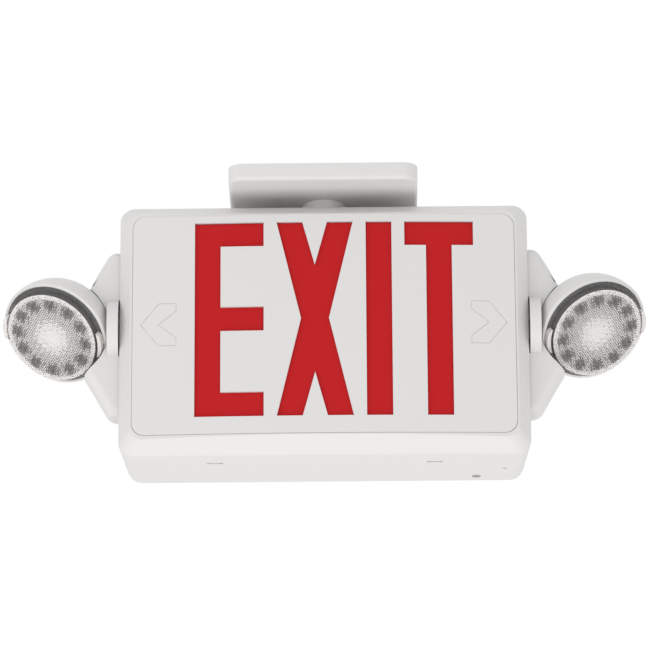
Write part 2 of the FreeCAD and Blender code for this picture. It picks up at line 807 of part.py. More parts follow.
# ---------------------------------------------------------------------------------------------------
# Ceiling canopy
# ---------------------------------------------------------------------------------------------------
def build_canopy():
    """Canopy tray, steel ceiling bar, threaded nipple, spacer collar and the two locknuts."""
    body = new_body("canopy")
    width, depth, wall = size["canopy_width"], size["canopy_depth"], size["canopy_wall"]
    corner, height = size["canopy_corner"], size["canopy_height"]
    pad(body, new_sketch(body, "XY", 0, outlines=[rounded(width, depth, corner)]), height, -1)
    base = -height.number
    fillet(body, size["canopy_round"], lambda edge: lies_at(edge, "Z", base))
    hollow = [rounded(width - wall * 2, depth - wall * 2, corner - wall)]
    pocket(body, new_sketch(body, "XY", 0, outlines=hollow), height - wall, -1)
    pocket(body, new_sketch(body, "XY", -height - 1, circles=[(0, 0, nipple_hole())]), wall + 2, 1)
    finish(body)

    bar = new_body("ceiling_bar")
    half = size["bar_length"] / 2
    pad(bar, new_sketch(bar, "XY", 0, outlines=[rounded(size["bar_length"], size["bar_width"], as_size(3))]),
        size["bar_thickness"], -1)
    slots = []
    radius = size["mount_hole_radius"]
    run = size["bar_slot_length"] / 2 - radius
    for way in (-1, 1):
        x = size["box_screw_spacing"] * way / 2
        slots.append([
            (x - run, -radius), (x + run, -radius, radius), (x + run + radius, 0, radius), (x + run, radius),
            (x - run, radius, radius), (x - run - radius, 0, radius),
        ])
    pocket(bar, new_sketch(bar, "XY", 0, outlines=slots, circles=[(0, 0, size["nipple_radius"])]),
           size["bar_thickness"], -1)
    finish(bar)

    nipple = new_body("hub_nipple")
    inside = TOP_Z - size["cover_wall"]
    length = -inside + size["locknut_height"] + 2
    rings = [(0, 0, size["nipple_radius"]), (0, 0, size["nipple_bore"])]
    pad(nipple, new_sketch(nipple, "XY", 0, circles=rings), length, -1)
    finish(nipple)

    collar = new_body("hub_collar")
    rings = [(0, 0, size["collar_radius"]), (0, 0, size["nipple_radius"])]
    pad(collar, new_sketch(collar, "XY", TOP_Z, circles=rings), size["canopy_gap"], 1)
    finish(collar)

    for name, low in (("canopy_locknut", -height + wall), ("cover_locknut", inside - size["locknut_height"])):
        nut = new_body(name)
        reach = size["locknut_radius"]
        hexagon = [(reach * math.cos(math.radians(a)), reach * math.sin(math.radians(a)))
                   for a in range(0, 360, 60)]
        sketch = new_sketch(nut, "XY", low, outlines=[hexagon], circles=[(0, 0, size["nipple_radius"])])
        pad(nut, sketch, size["locknut_height"], 1)
        finish(nut)


# ---------------------------------------------------------------------------------------------------
# Wings and ball-headed lamps
# ---------------------------------------------------------------------------------------------------
def wing_outline(inset, inner_x):
    """Arch of one wing about the middle of the sign, moved in by an inset."""
    tall = size["wing_half_height"] - inset
    flat = -size["wing_flat"]
    shoulder_x = -size["wing_shoulder_out"] + inset * 0.7
    shoulder_z = size["wing_shoulder_up"] - inset * 0.7
    tip_x = -size["wing_tip_out"] + inset
    tip_z = size["wing_tip_up"]
    bend = size["wing_shoulder_radius"]
    return [
        (inner_x, tall), (flat, tall, bend), (shoulder_x, shoulder_z), (tip_x, tip_z),
        (tip_x, -tip_z), (shoulder_x, -shoulder_z, bend), (flat, -tall), (inner_x, -tall),
    ]


def ball_sketch(body, radius):
    """Half disc about the ball's centre, ready to be turned into a sphere."""
    half = [(0, -radius, radius), (radius, 0, radius), (0, radius)]
    return new_sketch(body, "XZ", BALL_Y, (BALL_X, BALL_Z), [half])


def build_wing():
    """Left wing: an arched pod with a round barrel and a spherical socket for the lamp head."""
    body = new_body("left_wing")
    middle = (0, MIDDLE_Z)
    inner_x = -size["seam_width"] / 2 + 3
    pad(body, new_sketch(body, "XZ", WING_Y, middle, [wing_outline(ZERO, inner_x)]), size["wing_depth"], 1)
    front = WING_Y.number
    stop = -size["wing_flat"].number + 1
    fillet(body, size["wing_round"],
           lambda edge: lies_at(edge, "Y", front) and edge.CenterOfMass.x < stop + 5
           and not lies_at(edge, "X", inner_x.number))
    barrel_end = -(size["cover_width"] / 2 + size["barrel_slot"] - 0.3)
    reach = size["ball_reach"] - size["barrel_slot"] + 0.3 - size["ball_radius"] + size["barrel_nest"]
    barrel = new_sketch(body, "YZ", barrel_end, circles=[(BALL_Y, BALL_Z, size["barrel_radius"])])
    pad(body, barrel, reach, -1)
    bearing = size["ball_radius"] + size["ball_clearance"]
    spin("Groove", body, ball_sketch(body, bearing))
    wall = size["wing_wall"]
    lobe_out = bearing + wall
    for way in (-1, 1):
        clear = size["stem_radius"] * 2
        low_x = BALL_X + root(lobe_out * lobe_out - clear * clear)
        lobe_top = size["wing_half_height"] - wall - size["ball_up"] * way
        high_x = BALL_X + lobe_out * 0.62
        high_z = root(lobe_out * lobe_out * (1 - 0.62 * 0.62))
        lobe = [
            (inner_x + 1 - BALL_X, clear * way), (low_x - BALL_X, clear * way, lobe_out * way),
            (high_x - BALL_X, high_z * way), (-size["wing_flat"] - BALL_X, (lobe_top - 2) * way),
            (inner_x + 1 - BALL_X, lobe_top * way),
        ]
        sketch = new_sketch(body, "XZ", WING_Y + wall, (BALL_X, BALL_Z), [lobe])
        pocket(body, sketch, size["wing_depth"] - wall * 2, 1)
    screw_y = WING_Y + size["wing_depth"] / 2
    posts = [(screw_y, MIDDLE_Z + size["wing_screw_offset"] * way, size["wing_boss_radius"]) for way in (-1, 1)]
    holes = [(screw_y, MIDDLE_Z + size["wing_screw_offset"] * way, size["wing_screw_radius"] * 0.8)
             for way in (-1, 1)]
    pad(body, new_sketch(body, "YZ", inner_x, circles=posts), size["wing_shoulder_out"] + inner_x + 2, -1)
    pocket(body, new_sketch(body, "YZ", inner_x, circles=holes), as_size(14), -1)
    slope = size["seam_width"] / 2
    wedge = [
        (-size["cover_width"] / 2 - 0.02, EDGE_Y), (-slope - 0.02, SEAM_Y), (0, SEAM_Y), (0, EDGE_Y),
    ]
    pocket(body, new_sketch(body, "XY", MIDDLE_Z, outlines=[wedge]), size["cover_height"], 0)
    relief_radius = size["barrel_radius"] + 0.4
    half_chord = root(relief_radius * relief_radius - size["nut_radius"] * size["nut_radius"])
    seat_y = BALL_Y - size["nut_radius"]
    slit = [(seat_y, BALL_Z + half_chord, relief_radius), (seat_y, BALL_Z - half_chord)]
    nut_hole = (BALL_Y, BALL_Z, size["nut_radius"] + size["nut_room"])
    pocket(body, new_sketch(body, "YZ", 0, outlines=[slit]), -barrel_end, -1)
    pocket(body, new_sketch(body, "YZ", 0, circles=[nut_hole]), -barrel_end, -1)
    bore = size["stem_radius"] + size["stem_fit"]
    pocket(body, new_sketch(body, "YZ", BALL_X, circles=[(BALL_Y, BALL_Z, bore)]), size["ball_out"], 1)
    finish(body)
    finish(mirrored_copy("right_wing", body))

    screws = new_body("left_wing_screws")
    inside = -size["seam_width"] / 2 + size["cover_wall"] + 1.2
    heads = [(y, z, radius * 2.4) for y, z, radius in holes]
    pad(screws, new_sketch(screws, "YZ", inside, circles=heads), as_size(1.8), 1)
    shanks = new_sketch(screws, "YZ", inside, circles=holes)
    pad(screws, shanks, as_size(12), -1)
    finish(screws)
    finish(mirrored_copy("right_wing_screws", screws))


def head_turn(extra):
    """Orientation of a head part: local Z looks along the lens and local X points outwards."""
    pitch = Rotation(Vector(1, 0, 0), 90 + size["lamp_down"].number)
    face_out = Rotation(Vector(0, 0, 1), 180)
    swing = Rotation(Vector(0, 1, 0), extra)
    return pitch.multiply(face_out).multiply(swing)


def place(body, extra):
    """Set a head part at the ball's centre."""
    body.Placement = Placement(Vector(BALL_X.number, BALL_Y.number, BALL_Z.number), head_turn(extra))
    bind(body, "Placement.Base.x", BALL_X)
    bind(body, "Placement.Base.y", BALL_Y)
    bind(body, "Placement.Base.z", BALL_Z)


def dome(inner, outer, start):
    """Profile of a hemispherical shell that opens along +Z, with its mouth at a start height."""
    mouth_in = root(inner * inner - start * start)
    mouth_out = root(outer * outer - start * start)
    return [
        (0, -inner, inner), (mouth_in, start), (mouth_out, start, -outer), (0, -outer),
    ]


def keep(name, body, extra):
    """Place a left-hand head part and make its right-hand twin."""
    place(body, extra)
    finish(body)
    finish(mirrored_copy(name.replace("left_", "right_"), body))


def build_lamp_cup():
    """Hemispherical cup with a slot that lets it swing over the swivel stem."""
    body = new_body("left_lamp_cup")
    radius = size["ball_radius"]
    spin("Revolution", body, new_sketch(body, "XZ", 0, outlines=[dome(radius - size["ball_wall"], radius, ZERO)]))
    half = size["stem_radius"] + size["stem_slot_clearance"]
    spare = math.degrees(math.asin(half.number / radius.number))
    wedge = []
    for reach, order in ((0.7, (0, 1)), (1.3, (1, 0))):
        angles = (size["turn_least"] - spare, size["turn_most"] + spare)
        for pick in order:
            wedge.append((-(radius * reach * cosine(angles[pick])), -(radius * reach * sine(angles[pick]))))
    pocket(body, new_sketch(body, "XZ", 0, outlines=[wedge]), half * 2, 0)
    fillet(body, size["rim_round"], lambda edge: lies_at(edge, "Z", 0) and edge.BoundBox.XLength > radius.number * 2 - 1)
    keep("left_lamp_cup", body, size["lamp_out"].number)


def build_swivel():
    """Hollow stem with a spherical key inside the cup, its spring washer and its retaining nut."""
    body = new_body("left_swivel_stem")
    key_outer = size["ball_radius"] - size["ball_wall"] - size["key_clearance"]
    key_inner = key_outer - size["key_wall"]
    spread = size["key_across"] * 0.7
    rise_in = root(key_inner * key_inner - spread * spread)
    rise_out = root(key_outer * key_outer - spread * spread)
    cap = [(0, key_inner, -key_inner), (spread, rise_in), (spread, rise_out, key_outer), (0, key_outer)]
    spin("Revolution", body, new_sketch(body, "XZ", 0, outlines=[cap]))
    trim = size["ball_radius"] * 2
    along, across = size["key_along"] / 2, size["key_across"] / 2
    frame = [rectangle(-trim, trim, -trim, trim), rounded(along * 2, across * 2, as_size(2))]
    pocket(body, new_sketch(body, "XY", 0, outlines=frame), trim, 1)
    nut_end = size["ball_out"] - size["cover_width"] / 2 + size["cover_wall"] + size["nut_height"]
    shaft = new_sketch(body, "XY", key_inner + 0.4, circles=[(0, 0, size["stem_radius"])])
    pad(body, shaft, nut_end - key_inner, 1)
    pocket(body, new_sketch(body, "XY", 0, circles=[(0, 0, size["stem_bore"])]), trim * 2, 1)
    keep("left_swivel_stem", body, -90.0)

    seat = size["ball_out"] - size["cover_width"] / 2 - size["barrel_slot"] + 0.3
    bore = size["stem_radius"] + 0.1
    washer = new_body("left_swivel_spring")
    rise, thick = size["spring_height"], as_size(0.5)
    cone = [
        (bore, seat + rise - thick), (size["spring_outer"], seat + 0.4), (size["spring_outer"], seat + 0.4 + thick),
        (bore, seat + rise),
    ]
    spin("Revolution", washer, new_sketch(washer, "XZ", 0, outlines=[cone]))
    keep("left_swivel_spring", washer, -90.0)

    nut = new_body("left_swivel_nut")
    rings = [(0, 0, size["nut_radius"]), (0, 0, size["stem_radius"])]
    pad(nut, new_sketch(nut, "XY", seat + rise, circles=rings), size["nut_height"], 1)
    keep("left_swivel_nut", nut, -90.0)


def build_lens():
    """Clear cap with a seat flange and two snap tabs."""
    body = new_body("left_lens")
    seat = size["ball_radius"] - size["ball_wall"] - size["lens_seat_clearance"]
    outer, wall, tall = size["lens_radius"], size["lens_wall"], size["lens_height"]
    flange = size["lens_flange"]
    profile = [
        (0, tall - wall), (outer - wall, tall - wall), (outer - wall, -flange + 0), (seat - 0.4, -flange),
        (seat, 0), (outer + 0.6, 0), (outer, tall), (0, tall),
    ]
    spin("Revolution", body, new_sketch(body, "XZ", 0, outlines=[profile]))
    half, reach = size["tab_width"] / 2, size["tab_reach"]
    chord = (outer - wall + root(outer * outer - half * half)) / 2
    tip = outer + reach
    tabs = []
    for way in (-1, 1):
        tabs.append([
            (chord * way, -half * way), (tip * way - reach * way, -half * way),
            (tip * way, -half * 0.55 * way), (tip * way, half * 0.55 * way),
            (tip * way - reach * way, half * way), (chord * way, half * way),
        ])
    pad(body, new_sketch(body, "XY", 0.6, outlines=tabs), size["tab_height"], 1)
    keep("left_lens", body, size["lamp_out"].number)


def build_lamp_inside():
    """Silvered reflector and LED board behind the lens."""
    dish = new_body("left_reflector")
    mouth, floor, tall, wall = (size["reflector_mouth"], size["reflector_floor"], size["reflector_height"],
                                size["reflector_wall"])
    base = as_size(-0.2)
    top = base + tall
    profile = [
        (floor, base), (mouth, top), (mouth, top - wall), (mouth - wall, top - wall * 1.6),
        (floor + wall, base - wall), (floor, base - wall),
    ]
    spin("Revolution", dish, new_sketch(dish, "XZ", 0, outlines=[profile]))
    keep("left_reflector", dish, size["lamp_out"].number)

    board = new_body("left_led_board")
    face = base - wall - 0.1
    pad(board, new_sketch(board, "XY", face, circles=[(0, 0, size["board_radius"])]),
        size["board_thickness"], -1)
    half = size["emitter_size"] / 2
    pad(board, new_sketch(board, "XY", face, outlines=[rectangle(-half, half, -half, half)]), as_size(1.2), 1)
    keep("left_led_board", board, size["lamp_out"].number)


# ---------------------------------------------------------------------------------------------------
# Test button and electrical parts
# ---------------------------------------------------------------------------------------------------
def build_test_button():
    """Push button in the underside, its spring, the switch above it and the status lamp."""
    x, y = size["button_right"], FACE_Y + size["button_setback"]
    floor = BOTTOM_Z + size["cover_wall"]
    button = new_body("test_button")
    pad(button, new_sketch(button, "XY", BOTTOM_Z + size["button_recess"], circles=[(x, y, size["button_radius"])]),
        size["cover_wall"] - size["button_recess"] + 0.05, 1)
    pad(button, new_sketch(button, "XY", floor + 0.05, circles=[(x, y, size["button_flange"] - 1)]),
        as_size(1.2), 1)
    pad(button, new_sketch(button, "XY", floor + 1.2, circles=[(x, y, as_size(1.2))]), as_size(3.4), 1)
    finish(button)
    low = floor + 1.35
    high = floor + 4.6 + size["button_travel"] + 0.3
    coil = doc.addObject("Part::Feature", "button_spring")
    coil.Label = "button_spring"
    coil.Shape = coil_spring(2.2, 0.4, (high - low).number, 3)
    coil.Placement = Placement(Vector(x.number, y.number, low.number), Rotation())
    finish(coil)
    switch = new_body("test_switch")
    half = as_size(3.2)
    pad(switch, new_sketch(switch, "XY", high, outlines=[rectangle(x - half, x + half, y - half, y + half)]),
        as_size(3.6), 1)
    finish(switch)
    lamp = new_body("status_lamp")
    place_x, place_y = size["lamp_right"], FACE_Y + size["lamp_setback"]
    pad(lamp, new_sketch(lamp, "XY", BOTTOM_Z + 0.2, circles=[(place_x, place_y, size["lamp_radius"])]),
        as_size(6), 1)
    pad(lamp, new_sketch(lamp, "XY", floor, circles=[(place_x, place_y, size["lamp_radius"] * 1.5)]),
        as_size(1.2), 1)
    finish(lamp)


def coil_spring(radius, wire, height, turns):
    """A compression spring of hexagonal wire lofted from section to section, standing on its zero point."""
    steps = turns * 12
    sections = []
    for step in range(steps + 1):
        angle = math.radians(step * 30)
        up = wire / 2 + (height - wire) * step / steps
        corners = []
        for corner in range(7):
            turn = math.radians(corner * 60)
            reach = radius + wire / 2 * math.cos(turn)
            corners.append(Vector(reach * math.cos(angle), reach * math.sin(angle),
                                  up + wire / 2 * math.sin(turn)))
        sections.append(Part.makePolygon(corners))
    return Part.makeLoft(sections, True, True)


def build_electrics():
    """Battery and strap, transformer and control board, all carried by the back plate."""
    floor = BACK_Y - size["plate_wall"]
    cell, length = size["cell_diameter"], size["cell_length"]
    left, down = -size["battery_left"], BOTTOM_Z + size["battery_rise"]
    battery = new_body("battery_pack")
    radius = cell / 2
    y = floor - radius
    pack = []
    for index in (-1, 0, 1):
        pack.append((y, down + cell * index, radius))
    for circle in pack:
        pad(battery, new_sketch(battery, "YZ", left, circles=[circle]), length, 0)
    web = [rectangle(y - radius * 0.8, y + radius * 0.8, down - cell, down + cell)]
    pad(battery, new_sketch(battery, "YZ", left, outlines=web), length, 0)
    finish(battery)

    strap = new_body("battery_strap")
    thick = size["strap_thickness"]
    half = cell * 1.5
    outer = [
        (floor, down - half - thick - 6), (floor, down - half), (y - radius, down - half),
        (y - radius, down + half), (floor, down + half), (floor, down + half + thick + 6),
        (floor - thick, down + half + thick + 6), (floor - thick, down + half + thick),
        (y - radius - thick, down + half + thick), (y - radius - thick, down - half - thick),
        (floor - thick, down - half - thick), (floor - thick, down - half - thick - 6),
    ]
    pad(strap, new_sketch(strap, "YZ", left, outlines=[outer]), size["strap_width"], 0)
    finish(strap)

    transformer = new_body("transformer")
    wide, tall, deep = size["transformer_width"], size["transformer_height"], size["transformer_depth"]
    middle = (0, BOTTOM_Z + size["transformer_rise"])
    core = [rounded(wide, tall, as_size(1.5))]
    pad(transformer, new_sketch(transformer, "XZ", floor, middle, core), deep, -1)
    winding = [rounded(wide * 0.62, tall * 1.28, as_size(4))]
    pad(transformer, new_sketch(transformer, "XZ", floor - deep * 0.2, middle, winding), deep * 0.6, -1)
    finish(transformer)

    board = new_body("control_board")
    face = FACE_Y + size["button_setback"] + size["control_gap"]
    x = size["button_right"] - size["control_width"] / 2 + size["control_overhang"]
    low = BOTTOM_Z + size["cover_wall"] + size["control_rise"]
    outline = [rectangle(x - size["control_width"] / 2, x + size["control_width"] / 2, low,
                         low + size["control_height"])]
    pad(board, new_sketch(board, "XZ", face, outlines=outline), size["control_thickness"], 1)
    left, rise = x - size["relay_left"], low + size["relay_rise"]
    relay = rectangle(left, left + size["relay_width"], rise, rise + size["relay_height"])
    left, rise = x + size["choke_right"], low + size["choke_rise"]
    choke = rectangle(left, left + size["choke_width"], rise, rise + size["choke_height"])
    pad(board, new_sketch(board, "XZ", face, outlines=[relay, choke]), size["relay_depth"], -1)
    left, rise = x - size["cap_left"], low + size["cap_rise"]
    caps = [(left, rise, size["cap_radius"]), (left + size["cap_pitch"], rise, size["small_cap_radius"])]
    pad(board, new_sketch(board, "XZ", face, circles=caps), size["cap_depth"], -1)
    finish(board)


# ---------------------------------------------------------------------------------------------------
# Build, check and export
# ---------------------------------------------------------------------------------------------------
build_front_cover()
build_face_panel()
build_light_box()
build_back_plate()
build_canopy()
build_wing()
build_lamp_cup()
build_swivel()
build_lens()
build_lamp_inside()
build_test_button()
build_electrics()
doc.recompute()

for item in doc.Objects:
    if any(word in item.State for word in ("Invalid", "Error")):
        raise RuntimeError(f"{item.Label} did not build: {item.State}")
for piece in finished:
    if piece.Shape.isNull() or not piece.Shape.isValid():
        raise RuntimeError(f"{piece.Label} has no valid shape")
for piece in finished:
    piece.Shape.exportStep(f"parts/{piece.Label}.step")
    print(f"{piece.Label}: {len(piece.Shape.Solids)} solid, {piece.Shape.Volume / 1000:.2f} cm3")
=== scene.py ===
"""Looks of an emergency exit light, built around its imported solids.

Frame: X to the right of someone reading the sign, Y away from them, Z up, metres. The origin is the
middle of the ceiling bar's top face.
"""

import logging
import math
from dataclasses import dataclass, field
from enum import Enum

import bmesh
import bpy
from mathutils import Matrix, Vector


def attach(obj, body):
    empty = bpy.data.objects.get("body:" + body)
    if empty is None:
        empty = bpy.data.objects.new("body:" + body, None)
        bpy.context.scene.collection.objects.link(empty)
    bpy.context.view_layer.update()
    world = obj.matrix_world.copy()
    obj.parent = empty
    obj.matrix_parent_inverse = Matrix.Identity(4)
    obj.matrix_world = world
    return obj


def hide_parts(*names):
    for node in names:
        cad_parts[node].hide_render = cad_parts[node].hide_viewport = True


logging.basicConfig(level=logging.INFO, format="%(message)s")
log = logging.getLogger("exit_light")

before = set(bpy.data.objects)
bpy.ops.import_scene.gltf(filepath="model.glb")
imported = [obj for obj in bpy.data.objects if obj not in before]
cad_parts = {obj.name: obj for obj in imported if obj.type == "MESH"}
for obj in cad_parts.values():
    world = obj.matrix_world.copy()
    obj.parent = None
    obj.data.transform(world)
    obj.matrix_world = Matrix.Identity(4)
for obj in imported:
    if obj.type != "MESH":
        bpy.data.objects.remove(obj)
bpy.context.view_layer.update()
MM = 0.001

CREASE_DEG = 32.0  # edges sharper than this stay sharp on the solids' own meshes
MERGE_MM = 0.001  # the solids come as loose triangles, joined where corners meet this closely
BUMP_STRENGTH = 0.35
MOTTLE_MM = 45.0  # size of the slow changes in sheen across a moulding


class Side(Enum):
    """Which of the two lamps, with the sign of its X."""

    LEFT = -1
    RIGHT = 1

    @property
    def word(self) -> str:
        """Name used in the node and body names."""
        return self.name.lower()


# ---------------------------------------------------------------------------------------------------
# Finishes
# ---------------------------------------------------------------------------------------------------
def linear(code: str) -> tuple[float, float, float, float]:
    """Turn an sRGB hex value into a linear colour.

    Args:
        code: Six hex digits after a hash sign.

    Returns:
        Red, green, blue and an alpha of one.
    """
    values = [int(code[index:index + 2], 16) / 255 for index in (1, 3, 5)]
    return tuple(v / 12.92 if v <= 0.04045 else ((v + 0.055) / 1.055) ** 2.4 for v in values) + (1.0,)


def add(tree: bpy.types.NodeTree, kind: str, settings: dict | None = None, **inputs) -> bpy.types.Node:
    """Add a node, set its properties and fill or link its inputs.

    Args:
        tree: The node tree.
        kind: Blender's name for the node's type.
        settings: Properties of the node itself.
        inputs: Input sockets by name, with underscores for spaces, or by place as i0 and i1. Each is a
            value or an output socket.

    Returns:
        The new node.
    """
    node = tree.nodes.new(kind)
    for key, value in (settings or {}).items():
        setattr(node, key, value)
    for key, value in inputs.items():
        by_place = key[0] == "i" and key[1:].isdigit()
        socket = node.inputs[int(key[1:]) if by_place else key.replace("_", " ")]
        if isinstance(value, bpy.types.NodeSocket):
            tree.links.new(value, socket)
        else:
            socket.default_value = value
    return node


@dataclass(frozen=True)
class Finish:
    """One real material and how its surface was made; grain is a fine bump, mottle an uneven sheen."""

    name: str
    colour: str
    roughness: float
    metallic: float = 0.0
    ior: float = 1.5
    specular: float = 0.5
    transmission: float = 0.0
    grain_mm: float = 0.0
    grain_height_mm: float = 0.0
    mottle: float = 0.0
    alpha: float = 1.0

    def build(self) -> bpy.types.Material:
        """Make the material once and hand out the same one after that.

        Returns:
            The material.
        """
        made = bpy.data.materials.get(self.name)
        if made:
            return made
        material = bpy.data.materials.new(self.name)
        material.use_nodes = True
        tree = material.node_tree
        shader = tree.nodes["Principled BSDF"]
        shader.inputs["Base Color"].default_value = linear(self.colour)
        shader.inputs["Roughness"].default_value = self.roughness
        shader.inputs["Metallic"].default_value = self.metallic
        shader.inputs["IOR"].default_value = self.ior
        shader.inputs["Specular IOR Level"].default_value = self.specular
        shader.inputs["Transmission Weight"].default_value = self.transmission
        shader.inputs["Alpha"].default_value = self.alpha
        place = add(tree, "ShaderNodeTexCoord").outputs["Object"]
        if self.grain_mm:
            noise = add(tree, "ShaderNodeTexNoise", Vector=place, Scale=1 / (self.grain_mm * MM), Detail=3.0)
            bump = add(tree, "ShaderNodeBump", Height=noise.outputs["Fac"], Strength=BUMP_STRENGTH,
                       Distance=self.grain_height_mm * MM)
            tree.links.new(bump.outputs["Normal"], shader.inputs["Normal"])
        if self.mottle:
            cloud = add(tree, "ShaderNodeTexNoise", Vector=place, Scale=1 / (MOTTLE_MM * MM), Detail=2.0)
            span = add(tree, "ShaderNodeMapRange", Value=cloud.outputs["Fac"],
                       To_Min=self.roughness - self.mottle, To_Max=self.roughness + self.mottle)
            tree.links.new(span.outputs["Result"], shader.inputs["Roughness"])
        return material


# Injection-moulded ABS, satin from a lightly etched mould: an even soft sheen with no sharp reflections.
HOUSING_ABS = Finish("moulded_white_abs", "#CFCECD", 0.48, grain_mm=0.9, grain_height_mm=0.012, mottle=0.04)
# Styrene sheet, matt: a shade flatter than the bezel round it.
PANEL_STYRENE = Finish("matt_white_styrene", "#CECDCC", 0.55, grain_mm=1.2, grain_height_mm=0.01)
# Translucent red acrylic, unlit: deep and nearly flat, with little reflection.
RED_ACRYLIC = Finish("red_acrylic_sheet", "#B31C20", 0.42, specular=0.08)
# Plain white polycarbonate inside the box.
INNER_PC = Finish("white_polycarbonate", "#E8E8E6", 0.5)
# Glass-epoxy board under green solder mask.
EPOXY_BOARD = Finish("green_epoxy_board", "#1F4A33", 0.35)
# White solder mask on the lamp's own board.
LAMP_BOARD = Finish("white_solder_mask", "#DADAD6", 0.4)
# PVC shrink sleeve round the cells.
SHRINK_SLEEVE = Finish("blue_shrink_sleeve", "#2C5F8A", 0.3)
# Varnished steel laminations.
VARNISHED_STEEL = Finish("varnished_laminations", "#3A3836", 0.45, metallic=0.4)
# Black phenolic moulding.
BLACK_PHENOLIC = Finish("black_phenolic", "#161616", 0.4)
# Clouded epoxy lens of a small indicator lamp.
CLOUDY_EPOXY = Finish("clouded_epoxy", "#9FA39B", 0.25)
# Grey acetal of the push button.
GREY_ACETAL = Finish("grey_acetal", "#8F8F8D", 0.42)
# Spring steel wire and washers.
SPRING_STEEL = Finish("spring_steel", "#B4B4B6", 0.3, metallic=1.0)
# Bright zinc plating on pressed and turned steel: grey with a cool soft shine.
ZINC_STEEL = Finish("zinc_plated_steel", "#BFC1C2", 0.32, metallic=1.0)
# White nylon of the hollow swivel stem.
WHITE_NYLON = Finish("white_nylon", "#D9D8D3", 0.45)
# Clear polycarbonate, polished: so thin that it hardly bends what lies behind it.
CLEAR_PC = Finish("clear_polycarbonate", "#FFFFFF", 0.05, ior=1.585, alpha=0.05)
# Prism facets in painted highlight, half shade and shade: turned to the bright dish, half to it, away into
# the dark.
PAINTED_HIGHLIGHT_FACET = Finish("prism_facet_painted_highlight", "#DEDBDA", 0.3)
PAINTED_HALF_SHADE_FACET = Finish("prism_facet_painted_half_shade", "#7D7775", 0.3)
PAINTED_SHADE_FACET = Finish("prism_facet_painted_shade", "#2C2524", 0.3)
# The calm middle, where the prisms run out to nothing and the lamp's own light board shows white.
CALM_FACET = Finish("prism_middle_calm", "#CFCCCB", 0.22)
# The same, with a frosted mould on the tabs: milky, and faintly warm where light gathers in it.
FROSTED_PC = Finish("frosted_polycarbonate", "#F2ECEA", 0.45, ior=1.585, transmission=0.35)
# Vacuum-metallised styrene: a slightly soft mirror.
METALLISED = Finish("metallised_reflector", "#D5D5D6", 0.16, metallic=1.0)
# The metallised petals, painted dark: a painted reflection of the lamp's dark inside in their deep hollows.
METALLISED_PAINTED_DARK = Finish("metallised_petals_painted_reflection", "#2E2A2A", 0.25, metallic=1.0)
# Matt pale paint of the room's floor.
FLOOR_PAINT = Finish("pale_floor_paint", "#F1F0EE", 0.7)
# Outside of the dish, painted near-black brown: painted shade of the lamp's dark inside, seen behind the
# lens's wall.
PAINTED_SHADE_SKIRT = Finish("reflector_skirt_painted_shade", "#1D1412", 0.45, specular=0.3)


# ---------------------------------------------------------------------------------------------------
# Shared making of pieces
# ---------------------------------------------------------------------------------------------------
def copy_of(node: str) -> bpy.types.Object:
    """Copy a solid's mesh, join its loose triangles and shade it smooth up to the crease angle.

    Args:
        node: Name of the solid.

    Returns:
        The new object, not yet riding on a body.
    """
    mesh = bmesh.new()
    mesh.from_mesh(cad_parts[node].data)
    bmesh.ops.remove_doubles(mesh, verts=mesh.verts, dist=MERGE_MM * MM)
    data = bpy.data.meshes.new(f"{node}_look")
    mesh.to_mesh(data)
    mesh.free()
    data.materials.clear()
    piece = bpy.data.objects.new(f"{node}_look", data)
    bpy.context.scene.collection.objects.link(piece)
    smooth(piece.data)
    return piece


def flatten(piece: bpy.types.Object) -> None:
    """Turn an object's modifiers into plain mesh.

    Args:
        piece: The object.
    """
    graph = bpy.context.evaluated_depsgraph_get()
    data = bpy.data.meshes.new_from_object(piece.evaluated_get(graph))
    piece.modifiers.clear()
    old = piece.data
    piece.data = data
    bpy.data.meshes.remove(old)


def smooth(data: bpy.types.Mesh, crease_deg: float = CREASE_DEG) -> None:
    """Shade a mesh smooth and mark the edges past the crease angle as sharp.

    Args:
        data: The mesh.
        crease_deg: The crease angle in degrees.
    """
    mesh = bmesh.new()
    mesh.from_mesh(data)
    limit = math.radians(crease_deg)
    for face in mesh.faces:
        face.smooth = True
    for edge in mesh.edges:
        edge.smooth = len(edge.link_faces) == 2 and edge.calc_face_angle(0.0) < limit
    mesh.to_mesh(data)
    mesh.free()


def dress(piece: bpy.types.Object, body: str, finish: Finish, slot: str, *nodes: str) -> bpy.types.Object:
    """Give a piece its material and body, and let it stand for solids.

    Args:
        piece: The object.
        body: Body that it rides on.
        finish: Its finish.
        slot: The record's material slot; not used.
        nodes: Solids that it replaces.

    Returns:
        The same object.
    """
    if not piece.data.materials:
        piece.data.materials.append(finish.build())
    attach(piece, body)
    if nodes:
        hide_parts(*nodes)
    log.info("%s: %d faces", piece.name, len(piece.data.polygons))
    return piece


@dataclass
class Assembly:
    """A group of solids on one body, each shown by a merged, smooth copy."""

    body: str
    finishes: dict[str, tuple[Finish, str]] = field(default_factory=dict)

    def build(self) -> None:
        """Copy, dress and report each solid of the group."""
        for node, (finish, slot) in self.finishes.items():
            dress(copy_of(node), self.body, finish, slot, node)


class SignBox(Assembly):
    """Cover, face panel, diffuser, light box and back plate."""

    def __init__(self) -> None:
        """Name the box's solids and their finishes; the wings have their own class."""
        super().__init__("housing", {
            "front_cover": (HOUSING_ABS, "housing"),
            "face_panel": (PANEL_STYRENE, "panel"),
            "red_diffuser": (RED_ACRYLIC, "red_diffuser"),
            "light_box": (INNER_PC, "inner_white"),
            "led_strip_upper": (EPOXY_BOARD, "circuit_board"),
            "led_strip_lower": (EPOXY_BOARD, "circuit_board"),
            "back_plate": (HOUSING_ABS, "housing"),
        })


